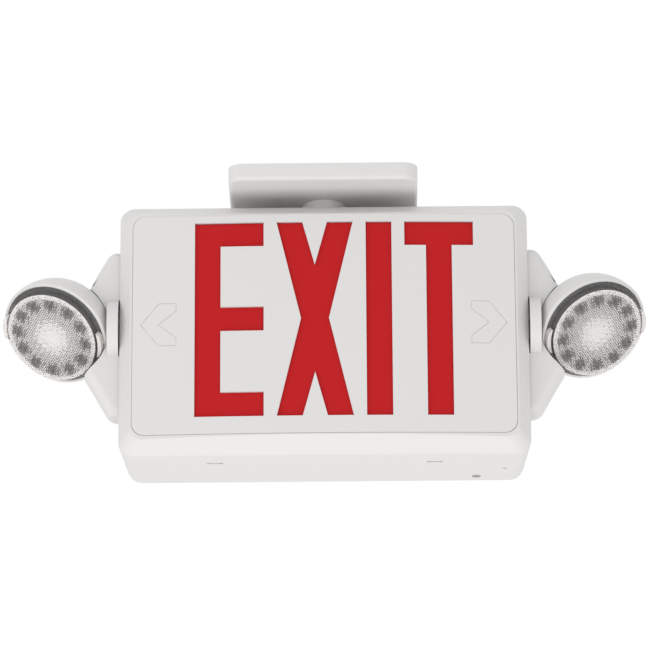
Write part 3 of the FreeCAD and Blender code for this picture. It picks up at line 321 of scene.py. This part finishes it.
@dataclass
class Wing:
    """Lamp wing: the solid's own mesh with its straight flanks drawn out into shallow arcs.

    Attributes:
        side: Which lamp it carries.
        slices: Number of strips from the cover out to the tip.
        bands: Heights of the cuts above and below the middle, as shares of half the wing's height.
        still: Share of half the height round the middle that stays as it is, for the lamp's pocket.
        ramp: Share of half the height over which the bow grows to its full size.
        root: Steepness of the bow's start, which keeps the edge against the cover in place.
        bulge_mm: Bow of a flank at its middle.
        lower_lift_mm: How far the lower flank lies above the solid's.
        flat_deg: Triangles this close to one plane are joined before the cuts.
    """

    side: Side
    slices: int = 12
    bands: tuple[float, ...] = (0.35, 0.5, 0.65, 0.8)
    still: float = 0.42
    ramp: float = 0.3
    root: float = 6.0
    bulge_mm: float = 1.9
    lower_lift_mm: float = 2.4
    flat_deg: float = 0.2

    def build(self) -> None:
        """Slice the flanks, bow them and dress the wing."""
        name = f"{self.side.word}_wing"
        piece = copy_of(name)
        mesh = bmesh.new()
        mesh.from_mesh(piece.data)
        bmesh.ops.dissolve_limit(mesh, angle_limit=math.radians(self.flat_deg), verts=mesh.verts,
                                 edges=mesh.edges)
        across = [abs(v.co.x) for v in mesh.verts]
        near, reach = min(across), max(across) - min(across)
        tall = [v.co.z for v in mesh.verts]
        middle, half = (min(tall) + max(tall)) / 2, (max(tall) - min(tall)) / 2
        for cut in range(1, self.slices):
            out = self.side.value * (near + reach * cut / self.slices)
            self.cut_across(mesh, (out, 0, 0), (1, 0, 0))
        for share in self.bands:
            for way in (-1, 1):
                self.cut_across(mesh, (0, 0, middle + way * half * share), (0, 0, 1))
        for vertex in mesh.verts:
            out = (abs(vertex.co.x) - near) / reach
            vertex.co.z += self.bow(out, (vertex.co.z - middle) / half)
        mesh.to_mesh(piece.data)
        mesh.free()
        smooth(piece.data)
        dress(piece, "housing", HOUSING_ABS, "housing", name)

    @staticmethod
    def cut_across(mesh: bmesh.types.BMesh, point: tuple, normal: tuple) -> None:
        """Add edges where a plane crosses the mesh.

        Args:
            mesh: The mesh.
            point: A point on the plane.
            normal: The plane's normal.
        """
        bmesh.ops.bisect_plane(mesh, geom=mesh.verts[:] + mesh.edges[:] + mesh.faces[:], dist=1e-7,
                               plane_co=point, plane_no=normal)

    def bow(self, out: float, high: float) -> float:
        """Work out how far a point of the wing moves up.

        Args:
            out: Its place from the cover, 0, to the tip, 1.
            high: Its height from the lowest point, -1, to the highest, 1.

        Returns:
            The move in metres.
        """
        weight = max(0.0, min(1.0, (abs(high) - self.still) / self.ramp)) * min(1.0, out * self.root)
        move = self.bulge_mm * math.sin(math.pi * min(1.0, out))
        if high < 0:
            move -= self.lower_lift_mm
        return move * weight * MM * (1 if high > 0 else -1)


class Canopy(Assembly):
    """Ceiling canopy with its bar, nipple, collar and nuts."""

    def __init__(self) -> None:
        """Name the canopy's solids and their finishes."""
        super().__init__("housing", {
            "canopy": (HOUSING_ABS, "housing"),
            "hub_collar": (HOUSING_ABS, "housing"),
            "ceiling_bar": (ZINC_STEEL, "zinc_plate"),
            "hub_nipple": (ZINC_STEEL, "zinc_plate"),
            "canopy_locknut": (ZINC_STEEL, "zinc_plate"),
            "cover_locknut": (ZINC_STEEL, "zinc_plate"),
        })


class Electrics(Assembly):
    """Battery, transformer, board and the fixed parts of the controls."""

    def __init__(self) -> None:
        """Name the electrical solids and their finishes."""
        super().__init__("housing", {
            "battery_pack": (SHRINK_SLEEVE, "battery_sleeve"),
            "battery_strap": (INNER_PC, "strap"),
            "transformer": (VARNISHED_STEEL, "transformer_core"),
            "control_board": (EPOXY_BOARD, "circuit_board"),
            "test_switch": (BLACK_PHENOLIC, "switch_body"),
            "status_lamp": (CLOUDY_EPOXY, "status_lens"),
            "left_wing_screws": (ZINC_STEEL, "zinc_plate"),
            "right_wing_screws": (ZINC_STEEL, "zinc_plate"),
        })


# ---------------------------------------------------------------------------------------------------
# Lamp heads
# ---------------------------------------------------------------------------------------------------
@dataclass
class HeadFrame:
    """Place and turn of a lamp head: local Z looks out along the lens, local X points outwards."""

    side: Side
    ball_mm: tuple[float, float, float] = (199.3, -8.75, -115.3)
    down_deg: float = 51.0
    out_deg: float = 22.0

    def matrix(self) -> Matrix:
        """Work out the transform from local millimetres to the object's frame.

        Returns:
            A matrix; the right-hand one mirrors.
        """
        x, y, z = (value * MM for value in self.ball_mm)
        turn = (Matrix.Rotation(math.radians(90 + self.down_deg), 4, "X") @ Matrix.Rotation(math.pi, 4, "Z")
                @ Matrix.Rotation(math.radians(self.out_deg), 4, "Y"))
        left = Matrix.Translation((-x, y, z)) @ turn @ Matrix.Scale(MM, 4)
        return left if self.side is Side.LEFT else Matrix.Scale(-1, 4, (1, 0, 0)) @ left

    def seat(self, mesh: bmesh.types.BMesh, name: str) -> bpy.types.Object:
        """Move a closed local mesh into place, turn its faces outwards and make it an object.

        Args:
            mesh: The mesh in local millimetres; it is freed.
            name: Name of the object, without its side.

        Returns:
            The object, at the origin.
        """
        bmesh.ops.transform(mesh, matrix=self.matrix(), verts=mesh.verts)
        bmesh.ops.recalc_face_normals(mesh, faces=mesh.faces)
        data = bpy.data.meshes.new(f"{self.side.word}_{name}")
        mesh.to_mesh(data)
        mesh.free()
        piece = bpy.data.objects.new(data.name, data)
        bpy.context.scene.collection.objects.link(piece)
        return piece


def spun(profile: list[tuple[float, float]], steps: int) -> bmesh.types.BMesh:
    """Turn a closed profile of (radius, height) points about local Z.

    Args:
        profile: The points in order; those at radius zero become poles.
        steps: Number of segments in a full turn.

    Returns:
        A closed mesh.
    """
    mesh = bmesh.new()
    rings = []
    for radius, height in profile:
        if radius == 0:
            rings.append([mesh.verts.new((0, 0, height))] * steps)
            continue
        angles = [2 * math.pi * k / steps for k in range(steps)]
        rings.append([mesh.verts.new((radius * math.cos(a), radius * math.sin(a), height)) for a in angles])
    count = len(rings)
    for index in range(count):
        low, high = rings[index], rings[(index + 1) % count]
        for k in range(steps):
            loop = [low[k], low[(k + 1) % steps], high[(k + 1) % steps], high[k]]
            corners = [v for place, v in enumerate(loop) if v not in loop[:place]]
            if len(corners) > 2:
                mesh.faces.new(corners)
    return mesh


FACET_FINISHES = (PAINTED_HIGHLIGHT_FACET, PAINTED_HALF_SHADE_FACET, PAINTED_SHADE_FACET, CALM_FACET)


@dataclass
class Lens:
    """Clear cap: a sheet of six-sided prisms in painted highlight and shade, a plain skin over it and two
    snap tabs.

    The prisms lie edge to edge on two lattices, each with rows sqrt(3) pitches apart, the second one
    shifted by half a step both ways.
    """

    # The sheet: prisms from the valley up, steps from the lattice's middle to its edge, a closed back.
    pitch_mm: float = 1.7
    prism_mm: float = 0.75
    lattice_half: int = 26
    weld_mm: float = 0.05
    face_radius_mm: float = 35.4
    valley_mm: float = 6.2
    back_mm: float = 5.9
    # The calm middle, inside which the prisms flatten out; its share is quite smooth.
    calm_radius_mm: float = 11.0
    calm_share: float = 0.62
    calm_shade: float = -0.1
    # The dark that the facets gather from the petals below, over a ground that grows with the radius.
    petals: int = 12
    petal_at_mm: float = 27.6
    petal_half_mm: float = 4.2
    petal_shade: float = 0.75
    petal_fade: float = 0.7
    ground_shade: float = 0.32
    ramp_mm: float = 6.0
    bright_from_mm: float = 32.2
    bright_shade: float = -0.05
    # The way from which facets catch the light, in radians about the axis, how uneven they are, and how
    # much further a facet may turn and still look grey.
    light_turn: float = 1.75
    unevenness: float = 0.5
    grey_span: float = 0.65
    # The skin: a shallow crown, a rounded edge, a wall that widens to the foot, and a seat in the cup.
    skin_mm: float = 7.2
    skirt_low_mm: float = -1.2
    outer_mm: float = 37.0
    height_mm: float = 8.0
    crown_mm: float = 0.4
    crown_shares: tuple[float, ...] = (0.8, 0.6, 0.4, 0.2, 0.0)
    edge_round_mm: float = 0.9
    wall_lean_mm: float = 0.6
    seat_mm: float = 39.1
    seat_chamfer_mm: float = 0.4
    skin_steps: int = 144
    skin_crease_deg: float = 20.0
    # The two snap tabs.
    tab_width_mm: float = 20.0
    tab_taper: float = 0.96
    tab_fullness: float = 0.8
    tab_root_mm: float = 1.2
    tab_reach_mm: float = 3.0
    tab_low_mm: float = 0.6
    tab_high_mm: float = 5.6
    tab_round_mm: float = 0.8
    tab_crease_deg: float = 40.0

    def prism_tree(self) -> bpy.types.NodeTree:
        """Build the node tree that lays six-sided prisms edge to edge over a disc.

        Returns:
            The tree, with Pitch, Depth, Disc Radius and Calm Radius as its inputs.
        """
        tree = bpy.data.node_groups.new("lens_prisms", "GeometryNodeTree")
        face = tree.interface
        face.new_socket("Geometry", in_out="INPUT", socket_type="NodeSocketGeometry")
        for name in ("Pitch", "Depth", "Disc Radius", "Calm Radius"):
            face.new_socket(name, in_out="INPUT", socket_type="NodeSocketFloat")
        face.new_socket("Geometry", in_out="OUTPUT", socket_type="NodeSocketGeometry")
        given = tree.nodes.new("NodeGroupInput").outputs
        result = tree.nodes.new("NodeGroupOutput")
        times = {"operation": "MULTIPLY"}
        steps = self.lattice_half * 2
        row = add(tree, "ShaderNodeMath", times, i0=given["Pitch"], i1=math.sqrt(3.0)).outputs[0]
        wide = add(tree, "ShaderNodeMath", times, i0=given["Pitch"], i1=float(steps))
        tall = add(tree, "ShaderNodeMath", times, i0=row, i1=float(steps))
        lattices = []
        for shift in (0.0, 0.5):
            grid = add(tree, "GeometryNodeMeshGrid", Size_X=wide.outputs[0], Size_Y=tall.outputs[0],
                       Vertices_X=steps + 1, Vertices_Y=steps + 1)
            across = add(tree, "ShaderNodeMath", times, i0=given["Pitch"], i1=shift)
            along = add(tree, "ShaderNodeMath", times, i0=row, i1=shift)
            offset = add(tree, "ShaderNodeCombineXYZ", X=across.outputs[0], Y=along.outputs[0])
            lattices.append(add(tree, "GeometryNodeSetPosition", Geometry=grid.outputs["Mesh"],
                                Offset=offset.outputs[0]).outputs[0])
        both = tree.nodes.new("GeometryNodeJoinGeometry")
        for lattice in lattices:
            tree.links.new(lattice, both.inputs[0])
        place = tree.nodes.new("GeometryNodeInputPosition").outputs[0]
        reach = add(tree, "ShaderNodeVectorMath", {"operation": "LENGTH"}, i0=place).outputs["Value"]
        limit = add(tree, "ShaderNodeMath", {"operation": "ADD"}, i0=given["Disc Radius"], i1=given["Pitch"])
        far = add(tree, "FunctionNodeCompare", {"data_type": "FLOAT", "operation": "GREATER_THAN"},
                  i0=reach, i1=limit.outputs[0])
        points = add(tree, "GeometryNodeDeleteGeometry", {"domain": "POINT"}, Geometry=both.outputs[0],
                     Selection=far.outputs[0])
        side = add(tree, "ShaderNodeMath", times, i0=given["Pitch"], i1=1 / math.sqrt(3.0))
        prism = add(tree, "GeometryNodeMeshCone", {"fill_type": "NONE"}, Vertices=6, Side_Segments=1,
                    Radius_Top=0.0, Radius_Bottom=side.outputs[0], Depth=given["Depth"])
        turned = add(tree, "GeometryNodeTransform", Geometry=prism.outputs["Mesh"],
                     Rotation=(0.0, 0.0, math.radians(30)))
        calm = add(tree, "ShaderNodeMapRange", {"interpolation_type": "SMOOTHSTEP"}, Value=reach,
                   From_Max=given["Calm Radius"], To_Min=0.02, To_Max=1.0)
        scale = add(tree, "ShaderNodeCombineXYZ", X=1.0, Y=1.0, Z=calm.outputs[0])
        laid = add(tree, "GeometryNodeInstanceOnPoints", Points=points.outputs[0], Instance=turned.outputs[0],
                   Scale=scale.outputs[0])
        real = add(tree, "GeometryNodeRealizeInstances", Geometry=laid.outputs[0])
        joined = add(tree, "GeometryNodeMergeByDistance", Geometry=real.outputs[0],
                     Distance=self.weld_mm)
        spot = tree.nodes.new("GeometryNodeInputPosition").outputs[0]
        flat = add(tree, "ShaderNodeVectorMath", {"operation": "MULTIPLY"}, i0=spot, i1=(1.0, 1.0, 0.0))
        away = add(tree, "ShaderNodeVectorMath", {"operation": "LENGTH"}, i0=flat.outputs[0]).outputs["Value"]
        outside = add(tree, "FunctionNodeCompare", {"data_type": "FLOAT", "operation": "GREATER_THAN"},
                      i0=away, i1=given["Disc Radius"])
        unit = add(tree, "ShaderNodeVectorMath", {"operation": "NORMALIZE"}, i0=flat.outputs[0])
        edge = add(tree, "ShaderNodeVectorMath", {"operation": "SCALE"}, i0=unit.outputs[0],
                   Scale=given["Disc Radius"])
        trimmed = add(tree, "GeometryNodeSetPosition", Geometry=joined.outputs[0],
                      Selection=outside.outputs[0], Position=edge.outputs[0])
        dressed = add(tree, "GeometryNodeSetMaterial", Geometry=trimmed.outputs[0], Material=CLEAR_PC.build())
        tree.links.new(dressed.outputs[0], result.inputs[0])
        return tree

    def prism_sheet(self) -> bmesh.types.BMesh:
        """Run the tree on its own and close the sheet of prisms with a flat back, in local millimetres.

        Returns:
            A closed disc with its points outwards.
        """
        tree = bpy.data.node_groups.get("lens_prisms") or self.prism_tree()
        data = bpy.data.meshes.new("prism_seed")
        seed = bpy.data.objects.new("prism_seed", data)
        bpy.context.scene.collection.objects.link(seed)
        modifier = seed.modifiers.new("prisms", "NODES")
        modifier.node_group = tree
        values = {"Pitch": self.pitch_mm, "Depth": self.prism_mm, "Disc Radius": self.face_radius_mm,
                  "Calm Radius": self.calm_radius_mm}
        for socket in tree.interface.items_tree:
            if socket.item_type == "SOCKET" and socket.in_out == "INPUT" and socket.name in values:
                modifier[socket.identifier] = values[socket.name]
        flatten(seed)
        mesh = bmesh.new()
        mesh.from_mesh(seed.data)
        bpy.data.objects.remove(seed)
        bmesh.ops.remove_doubles(mesh, verts=mesh.verts, dist=0.02)
        bmesh.ops.dissolve_degenerate(mesh, edges=mesh.edges, dist=0.01)
        bmesh.ops.recalc_face_normals(mesh, faces=mesh.faces)
        for vertex in mesh.verts:
            vertex.co.z += self.valley_mm
        # Each facet takes its painted highlight, half shade or shade, or the calm middle.
        for face in mesh.faces:
            face.material_index = FACET_FINISHES.index(self.facet_finish(face))
        grown = bmesh.ops.extrude_edge_only(mesh, edges=[e for e in mesh.edges if e.is_boundary])["geom"]
        for vertex in (item for item in grown if isinstance(item, bmesh.types.BMVert)):
            vertex.co.z = self.back_mm
        bmesh.ops.contextual_create(mesh, geom=[item for item in grown if isinstance(item, bmesh.types.BMEdge)
                                                and item.is_boundary])
        return mesh

    def facet_finish(self, face: bmesh.types.BMFace) -> Finish:
        """Choose a facet's painted highlight, half shade or shade from where it lies and which way it turns.

        Args:
            face: One facet of a prism.

        Returns:
            Its finish.
        """
        centre = face.calc_center_median()
        radius = math.hypot(centre.x, centre.y)
        if radius < self.calm_radius_mm * self.calm_share:
            return CALM_FACET
        # An even, fixed unrest in the painted light from facet to facet; the numbers only keep the two waves
        # out of step.
        grain = math.sin(centre.x * 2.3 + centre.y * 1.7) * math.sin(centre.x * 0.9 - centre.y * 2.1)
        turn = math.atan2(face.normal.y, face.normal.x)
        light = math.cos(turn - self.light_turn) + self.unevenness * grain
        dark_below = 2 * self.shade(centre, radius) - 1
        if light < dark_below:
            return PAINTED_SHADE_FACET
        return PAINTED_HALF_SHADE_FACET if light < dark_below + self.grey_span else PAINTED_HIGHLIGHT_FACET

    def shade(self, centre: Vector, radius: float) -> float:
        """Work out how much of the dark a place on the lens gathers from the petals under it.

        Args:
            centre: The place, in local millimetres.
            radius: Its distance from the axis.

        Returns:
            A share, a little below zero where the place stays bright.
        """
        if radius > self.bright_from_mm:
            return self.bright_shade
        if radius < self.calm_radius_mm:
            return self.calm_shade
        sector = 2 * math.pi / self.petals
        angle = (math.atan2(centre.y, centre.x) + 0.5 * sector) % sector - 0.5 * sector
        away = math.hypot(radius - self.petal_at_mm, angle * radius) / self.petal_half_mm
        ground = self.ground_shade * min(1.0, (radius - self.calm_radius_mm) / self.ramp_mm)
        return self.petal_shade * math.exp(-self.petal_fade * away ** 2) + ground

    def build(self, head: HeadFrame) -> tuple[bpy.types.Object, bpy.types.Object]:
        """Turn the skin with its skirt and lay the sheet of prisms under it.

        Args:
            head: The lamp head's frame.

        Returns:
            The skin and the prisms.
        """
        wall = self.outer_mm - self.face_radius_mm
        inside = [(0.0, self.skin_mm), (self.face_radius_mm * 0.5, self.skin_mm),
                  (self.face_radius_mm, self.skin_mm), (self.face_radius_mm, self.skirt_low_mm)]
        seat = [(self.seat_mm - self.seat_chamfer_mm, self.skirt_low_mm), (self.seat_mm, 0.0)]
        outside = [(self.outer_mm + self.wall_lean_mm, 0.0),
                   (self.outer_mm + self.wall_lean_mm * 0.2, self.height_mm - self.edge_round_mm),
                   (self.outer_mm - 0.25, self.height_mm - 0.2),
                   (self.outer_mm - wall * 0.6, self.height_mm)]
        crown = [(self.outer_mm * share, self.height_mm + self.crown_mm * (1 - share * share))
                 for share in self.crown_shares]
        skin = head.seat(spun(inside + seat + outside + crown, self.skin_steps), "lens_skin")
        skin.data.materials.append(CLEAR_PC.build())
        smooth(skin.data, self.skin_crease_deg)
        prisms = head.seat(self.prism_sheet(), "lens_prisms")
        for finish in FACET_FINISHES:
            prisms.data.materials.append(finish.build())
        return skin, prisms

    def tabs(self, head: HeadFrame) -> bpy.types.Object:
        """Mould the two rounded snap tabs of the lens.

        Args:
            head: The lamp head's frame.

        Returns:
            The tabs, in frosted plastic.
        """
        mesh = bmesh.new()
        half = self.tab_width_mm / 2
        inside, nose, back = self.outer_mm - self.tab_root_mm, 10, 10
        root = self.outer_mm * math.cos(math.asin(half / self.outer_mm)) + 0.05
        outline = [(root, -half)]
        for step in range(nose + 1):
            angle = math.pi * (step / nose - 0.5)
            swell = (self.tab_reach_mm + self.tab_root_mm) * math.cos(angle) ** self.tab_fullness
            outline.append((inside + swell, half * self.tab_taper * math.sin(angle)))
        outline.append((root, half))
        for step in range(1, back):
            y = half - 2 * half * step / back
            outline.append((math.sqrt((self.outer_mm + 0.1) ** 2 - y * y), y))
        count = len(outline)
        for way in (-1, 1):
            low, high = ([mesh.verts.new((x * way, y * way, z)) for x, y in outline]
                         for z in (self.tab_low_mm, self.tab_high_mm))
            mesh.faces.new(low[::-1])
            mesh.faces.new(high)
            for k in range(count):
                mesh.faces.new((low[k], low[(k + 1) % count], high[(k + 1) % count], high[k]))
        piece = head.seat(mesh, "lens_tabs")
        bevel = piece.modifiers.new("soft_edge", "BEVEL")
        bevel.width, bevel.segments, bevel.limit_method = self.tab_round_mm * MM, 3, "ANGLE"
        flatten(piece)
        piece.data.materials.append(FROSTED_PC.build())
        smooth(piece.data, self.tab_crease_deg)
        return piece


@dataclass
class Reflector:
    """Metallised dish with a ring of deep petals in a painted dark reflection and an outer skirt in painted
    shade.
    """

    # The dish, from its floor's edge up to its mouth.
    floor_mm: float = 12.0
    mouth_mm: float = 35.0
    low_mm: float = -0.2
    high_mm: float = 5.6
    curve: float = 1.25
    rows: int = 16
    steps: int = 144
    # The petals, round hollows in a ring.
    petals: int = 12
    petal_mm: float = 27.0
    petal_half_mm: float = 4.6
    petal_deep_mm: float = 1.1
    # The skirt and the back, which follows the dish at a little distance.
    skirt_mm: float = 35.25
    skirt_wall_mm: float = 0.85
    skirt_low_mm: float = -1.0
    back: tuple[tuple[float, float], ...] = ((34.4, 3.9), (27.0, 1.2), (18.0, -0.1))
    back_low_mm: float = -0.9
    crease_deg: float = 35.0

    def build(self, head: HeadFrame) -> bpy.types.Object:
        """Build the dish, sink its petals and close it with the skirt and the back.

        Args:
            head: The lamp head's frame.

        Returns:
            The reflector, with its bright finish, the petals' painted reflection and the skirt's painted
            shade by face.
        """
        profile = []
        for row in range(self.rows + 1):
            share = row / self.rows
            radius = self.floor_mm + (self.mouth_mm - self.floor_mm) * share
            profile.append((radius, self.low_mm + (self.high_mm - self.low_mm) * share ** self.curve))
        profile += [(self.skirt_mm, self.high_mm), (self.skirt_mm, self.skirt_low_mm),
                    (self.skirt_mm - self.skirt_wall_mm, self.skirt_low_mm)]
        mesh = spun([*profile, *self.back, (self.floor_mm, self.back_low_mm)], self.steps)
        deep = self.sink_petals(mesh)
        for face in mesh.faces:
            centre = face.calc_center_median()
            # Faces past the mouth or under the floor, the skirt and the back, take the painted shade.
            if math.hypot(centre.x, centre.y) > self.mouth_mm + 0.05 or centre.z < self.low_mm - 0.2:
                face.material_index = 2
            # Faces of the sunk petals take the painted dark reflection.
            elif sum(v in deep for v in face.verts) >= 3:
                face.material_index = 1
        piece = head.seat(mesh, "reflector_look")
        for finish in (METALLISED, METALLISED_PAINTED_DARK, PAINTED_SHADE_SKIRT):
            piece.data.materials.append(finish.build())
        smooth(piece.data, self.crease_deg)
        return piece

    def sink_petals(self, mesh: bmesh.types.BMesh) -> set[bmesh.types.BMVert]:
        """Push a ring of round hollows into the dish.

        Args:
            mesh: The reflector in local millimetres.

        Returns:
            The points that moved.
        """
        deep = set()
        sector = 2 * math.pi / self.petals
        for vertex in mesh.verts:
            radius = math.hypot(vertex.co.x, vertex.co.y)
            if not self.floor_mm + 0.5 < radius < self.mouth_mm - 0.5 or vertex.co.z < self.low_mm:
                continue
            angle = (math.atan2(vertex.co.y, vertex.co.x) + 0.5 * sector) % sector - 0.5 * sector
            away = math.hypot(radius - self.petal_mm, angle * radius) / self.petal_half_mm
            if away < 1.0:
                vertex.co.z -= self.petal_deep_mm * (1 - away * away)
                deep.add(vertex)
        return deep


@dataclass
class Lamp:
    """One ball-headed lamp with its swivel."""

    side: Side
    lens: Lens = field(default_factory=Lens)
    reflector: Reflector = field(default_factory=Reflector)

    def build(self) -> None:
        """Dress the swivel parts and the head."""
        word = self.side.word
        swivel, body = f"{word}_swivel", f"{word}_head"
        for node, finish, slot in (
            ("swivel_stem", WHITE_NYLON, "stem_nylon"),
            ("swivel_spring", SPRING_STEEL, "spring_steel"),
            ("swivel_nut", ZINC_STEEL, "zinc_plate"),
        ):
            dress(copy_of(f"{word}_{node}"), swivel, finish, slot, f"{word}_{node}")
        for node, finish, slot in (
            ("lamp_cup", HOUSING_ABS, "housing"),
            ("led_board", LAMP_BOARD, "led_board"),
        ):
            dress(copy_of(f"{word}_{node}"), body, finish, slot, f"{word}_{node}")
        head = HeadFrame(self.side)
        dress(self.reflector.build(head), body, METALLISED, "silver_reflector", f"{word}_reflector")
        skin, prisms = self.lens.build(head)
        dress(skin, body, CLEAR_PC, "clear_lens", f"{word}_lens")
        dress(prisms, body, PAINTED_HIGHLIGHT_FACET, "clear_lens")
        dress(self.lens.tabs(head), body, FROSTED_PC, "clear_lens")


class Controls:
    """Test button and its spring."""

    def build(self) -> None:
        """Dress the moving button; the spring keeps its own mesh because it changes length."""
        dress(copy_of("test_button"), "test_button", GREY_ACETAL, "button", "test_button")
        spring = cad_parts["button_spring"]
        spring.data.materials.clear()
        spring.data.materials.append(SPRING_STEEL.build())


@dataclass(frozen=True)
class SoftLight:
    """One large square area light: where it stands and its width in metres, and its watts."""

    name: str
    place: tuple[float, float, float]
    size: float
    power: float

    def build(self, aim: tuple[float, float, float]) -> None:
        """Add the light, facing a point.

        Args:
            aim: The point, in metres.
        """
        data = bpy.data.lights.new(self.name, "AREA")
        data.energy = self.power
        data.size = self.size
        lamp = bpy.data.objects.new(self.name, data)
        lamp.location = self.place
        lamp.rotation_mode = "QUATERNION"
        lamp.rotation_quaternion = (Vector(aim) - Vector(self.place)).to_track_quat("-Z", "Y")
        bpy.context.scene.collection.objects.link(lamp)


@dataclass
class Studio:
    """Pale floor, soft white light and the camera."""

    target_mm: tuple[float, float, float] = (-0.6, -38.75, -120.2)
    distance_mm: float = 3500.0
    azimuth_deg: float = 0.6
    elevation_deg: float = -21.0
    roll_deg: float = 0.3
    lens_mm: float = 265.8
    sensor_mm: float = 36.0
    floor_drop_mm: float = 2300.0
    floor_half_m: float = 6.0
    light_aim: tuple[float, float, float] = (0.0, 0.0, -0.12)
    lights: tuple[SoftLight, ...] = (
        SoftLight("soft_below", (0.0, -0.8, -1.9), 1.8, 17.0),
        SoftLight("soft_left", (-1.3, -1.1, 0.0), 0.9, 3.5),
    )

    def build(self) -> None:
        """Make the floor, the world, the lights and the camera."""
        self.floor()
        self.world()
        for light in self.lights:
            light.build(self.light_aim)
        self.camera()

    def floor(self) -> None:
        """Lay a plain pale floor a room's height below the ceiling."""
        data = bpy.data.meshes.new("pale_floor")
        half, drop = self.floor_half_m, -self.floor_drop_mm * MM
        corners = [(-half, -half, drop), (half, -half, drop), (half, half, drop), (-half, half, drop)]
        data.from_pydata(corners, [], [(0, 1, 2, 3)])
        data.materials.append(FLOOR_PAINT.build())
        floor = bpy.data.objects.new("pale_floor", data)
        bpy.context.scene.collection.objects.link(floor)

    def world(self) -> None:
        """Surround the object with even white light."""
        world = bpy.data.worlds.new("white_room")
        world.use_nodes = True
        background = world.node_tree.nodes["Background"]
        background.inputs["Color"].default_value = (1.0, 1.0, 1.0, 1.0)
        background.inputs["Strength"].default_value = 1.0
        bpy.context.scene.world = world
        bpy.context.scene.view_settings.view_transform = "Standard"

    def camera(self) -> None:
        """Place the camera below the object, looking up at it with a long lens."""
        data = bpy.data.cameras.new("studio_camera")
        data.lens, data.sensor_width = self.lens_mm, self.sensor_mm
        data.clip_start, data.clip_end = 0.1, 100.0
        camera = bpy.data.objects.new("studio_camera", data)
        a, e = math.radians(self.azimuth_deg), math.radians(self.elevation_deg)
        back = Vector((math.sin(a) * math.cos(e), -math.cos(a) * math.cos(e), math.sin(e)))
        camera.location = Vector(self.target_mm) * MM + back * self.distance_mm * MM
        roll = Matrix.Rotation(math.radians(-self.roll_deg), 3, "Z")
        turn = (-back).to_track_quat("-Z", "Y").to_matrix() @ roll
        camera.rotation_mode = "QUATERNION"
        camera.rotation_quaternion = turn.to_quaternion()
        bpy.context.scene.collection.objects.link(camera)
        bpy.context.scene.camera = camera


def main() -> None:
    """Build and dress every assembly, then set the stage."""
    for assembly in (SignBox(), Canopy(), Electrics(), Controls(), Wing(Side.LEFT), Wing(Side.RIGHT),
                     Lamp(Side.LEFT), Lamp(Side.RIGHT), Studio()):
        log.info("building %s", type(assembly).__name__)
        assembly.build()


if __name__ == "__main__":
    main()
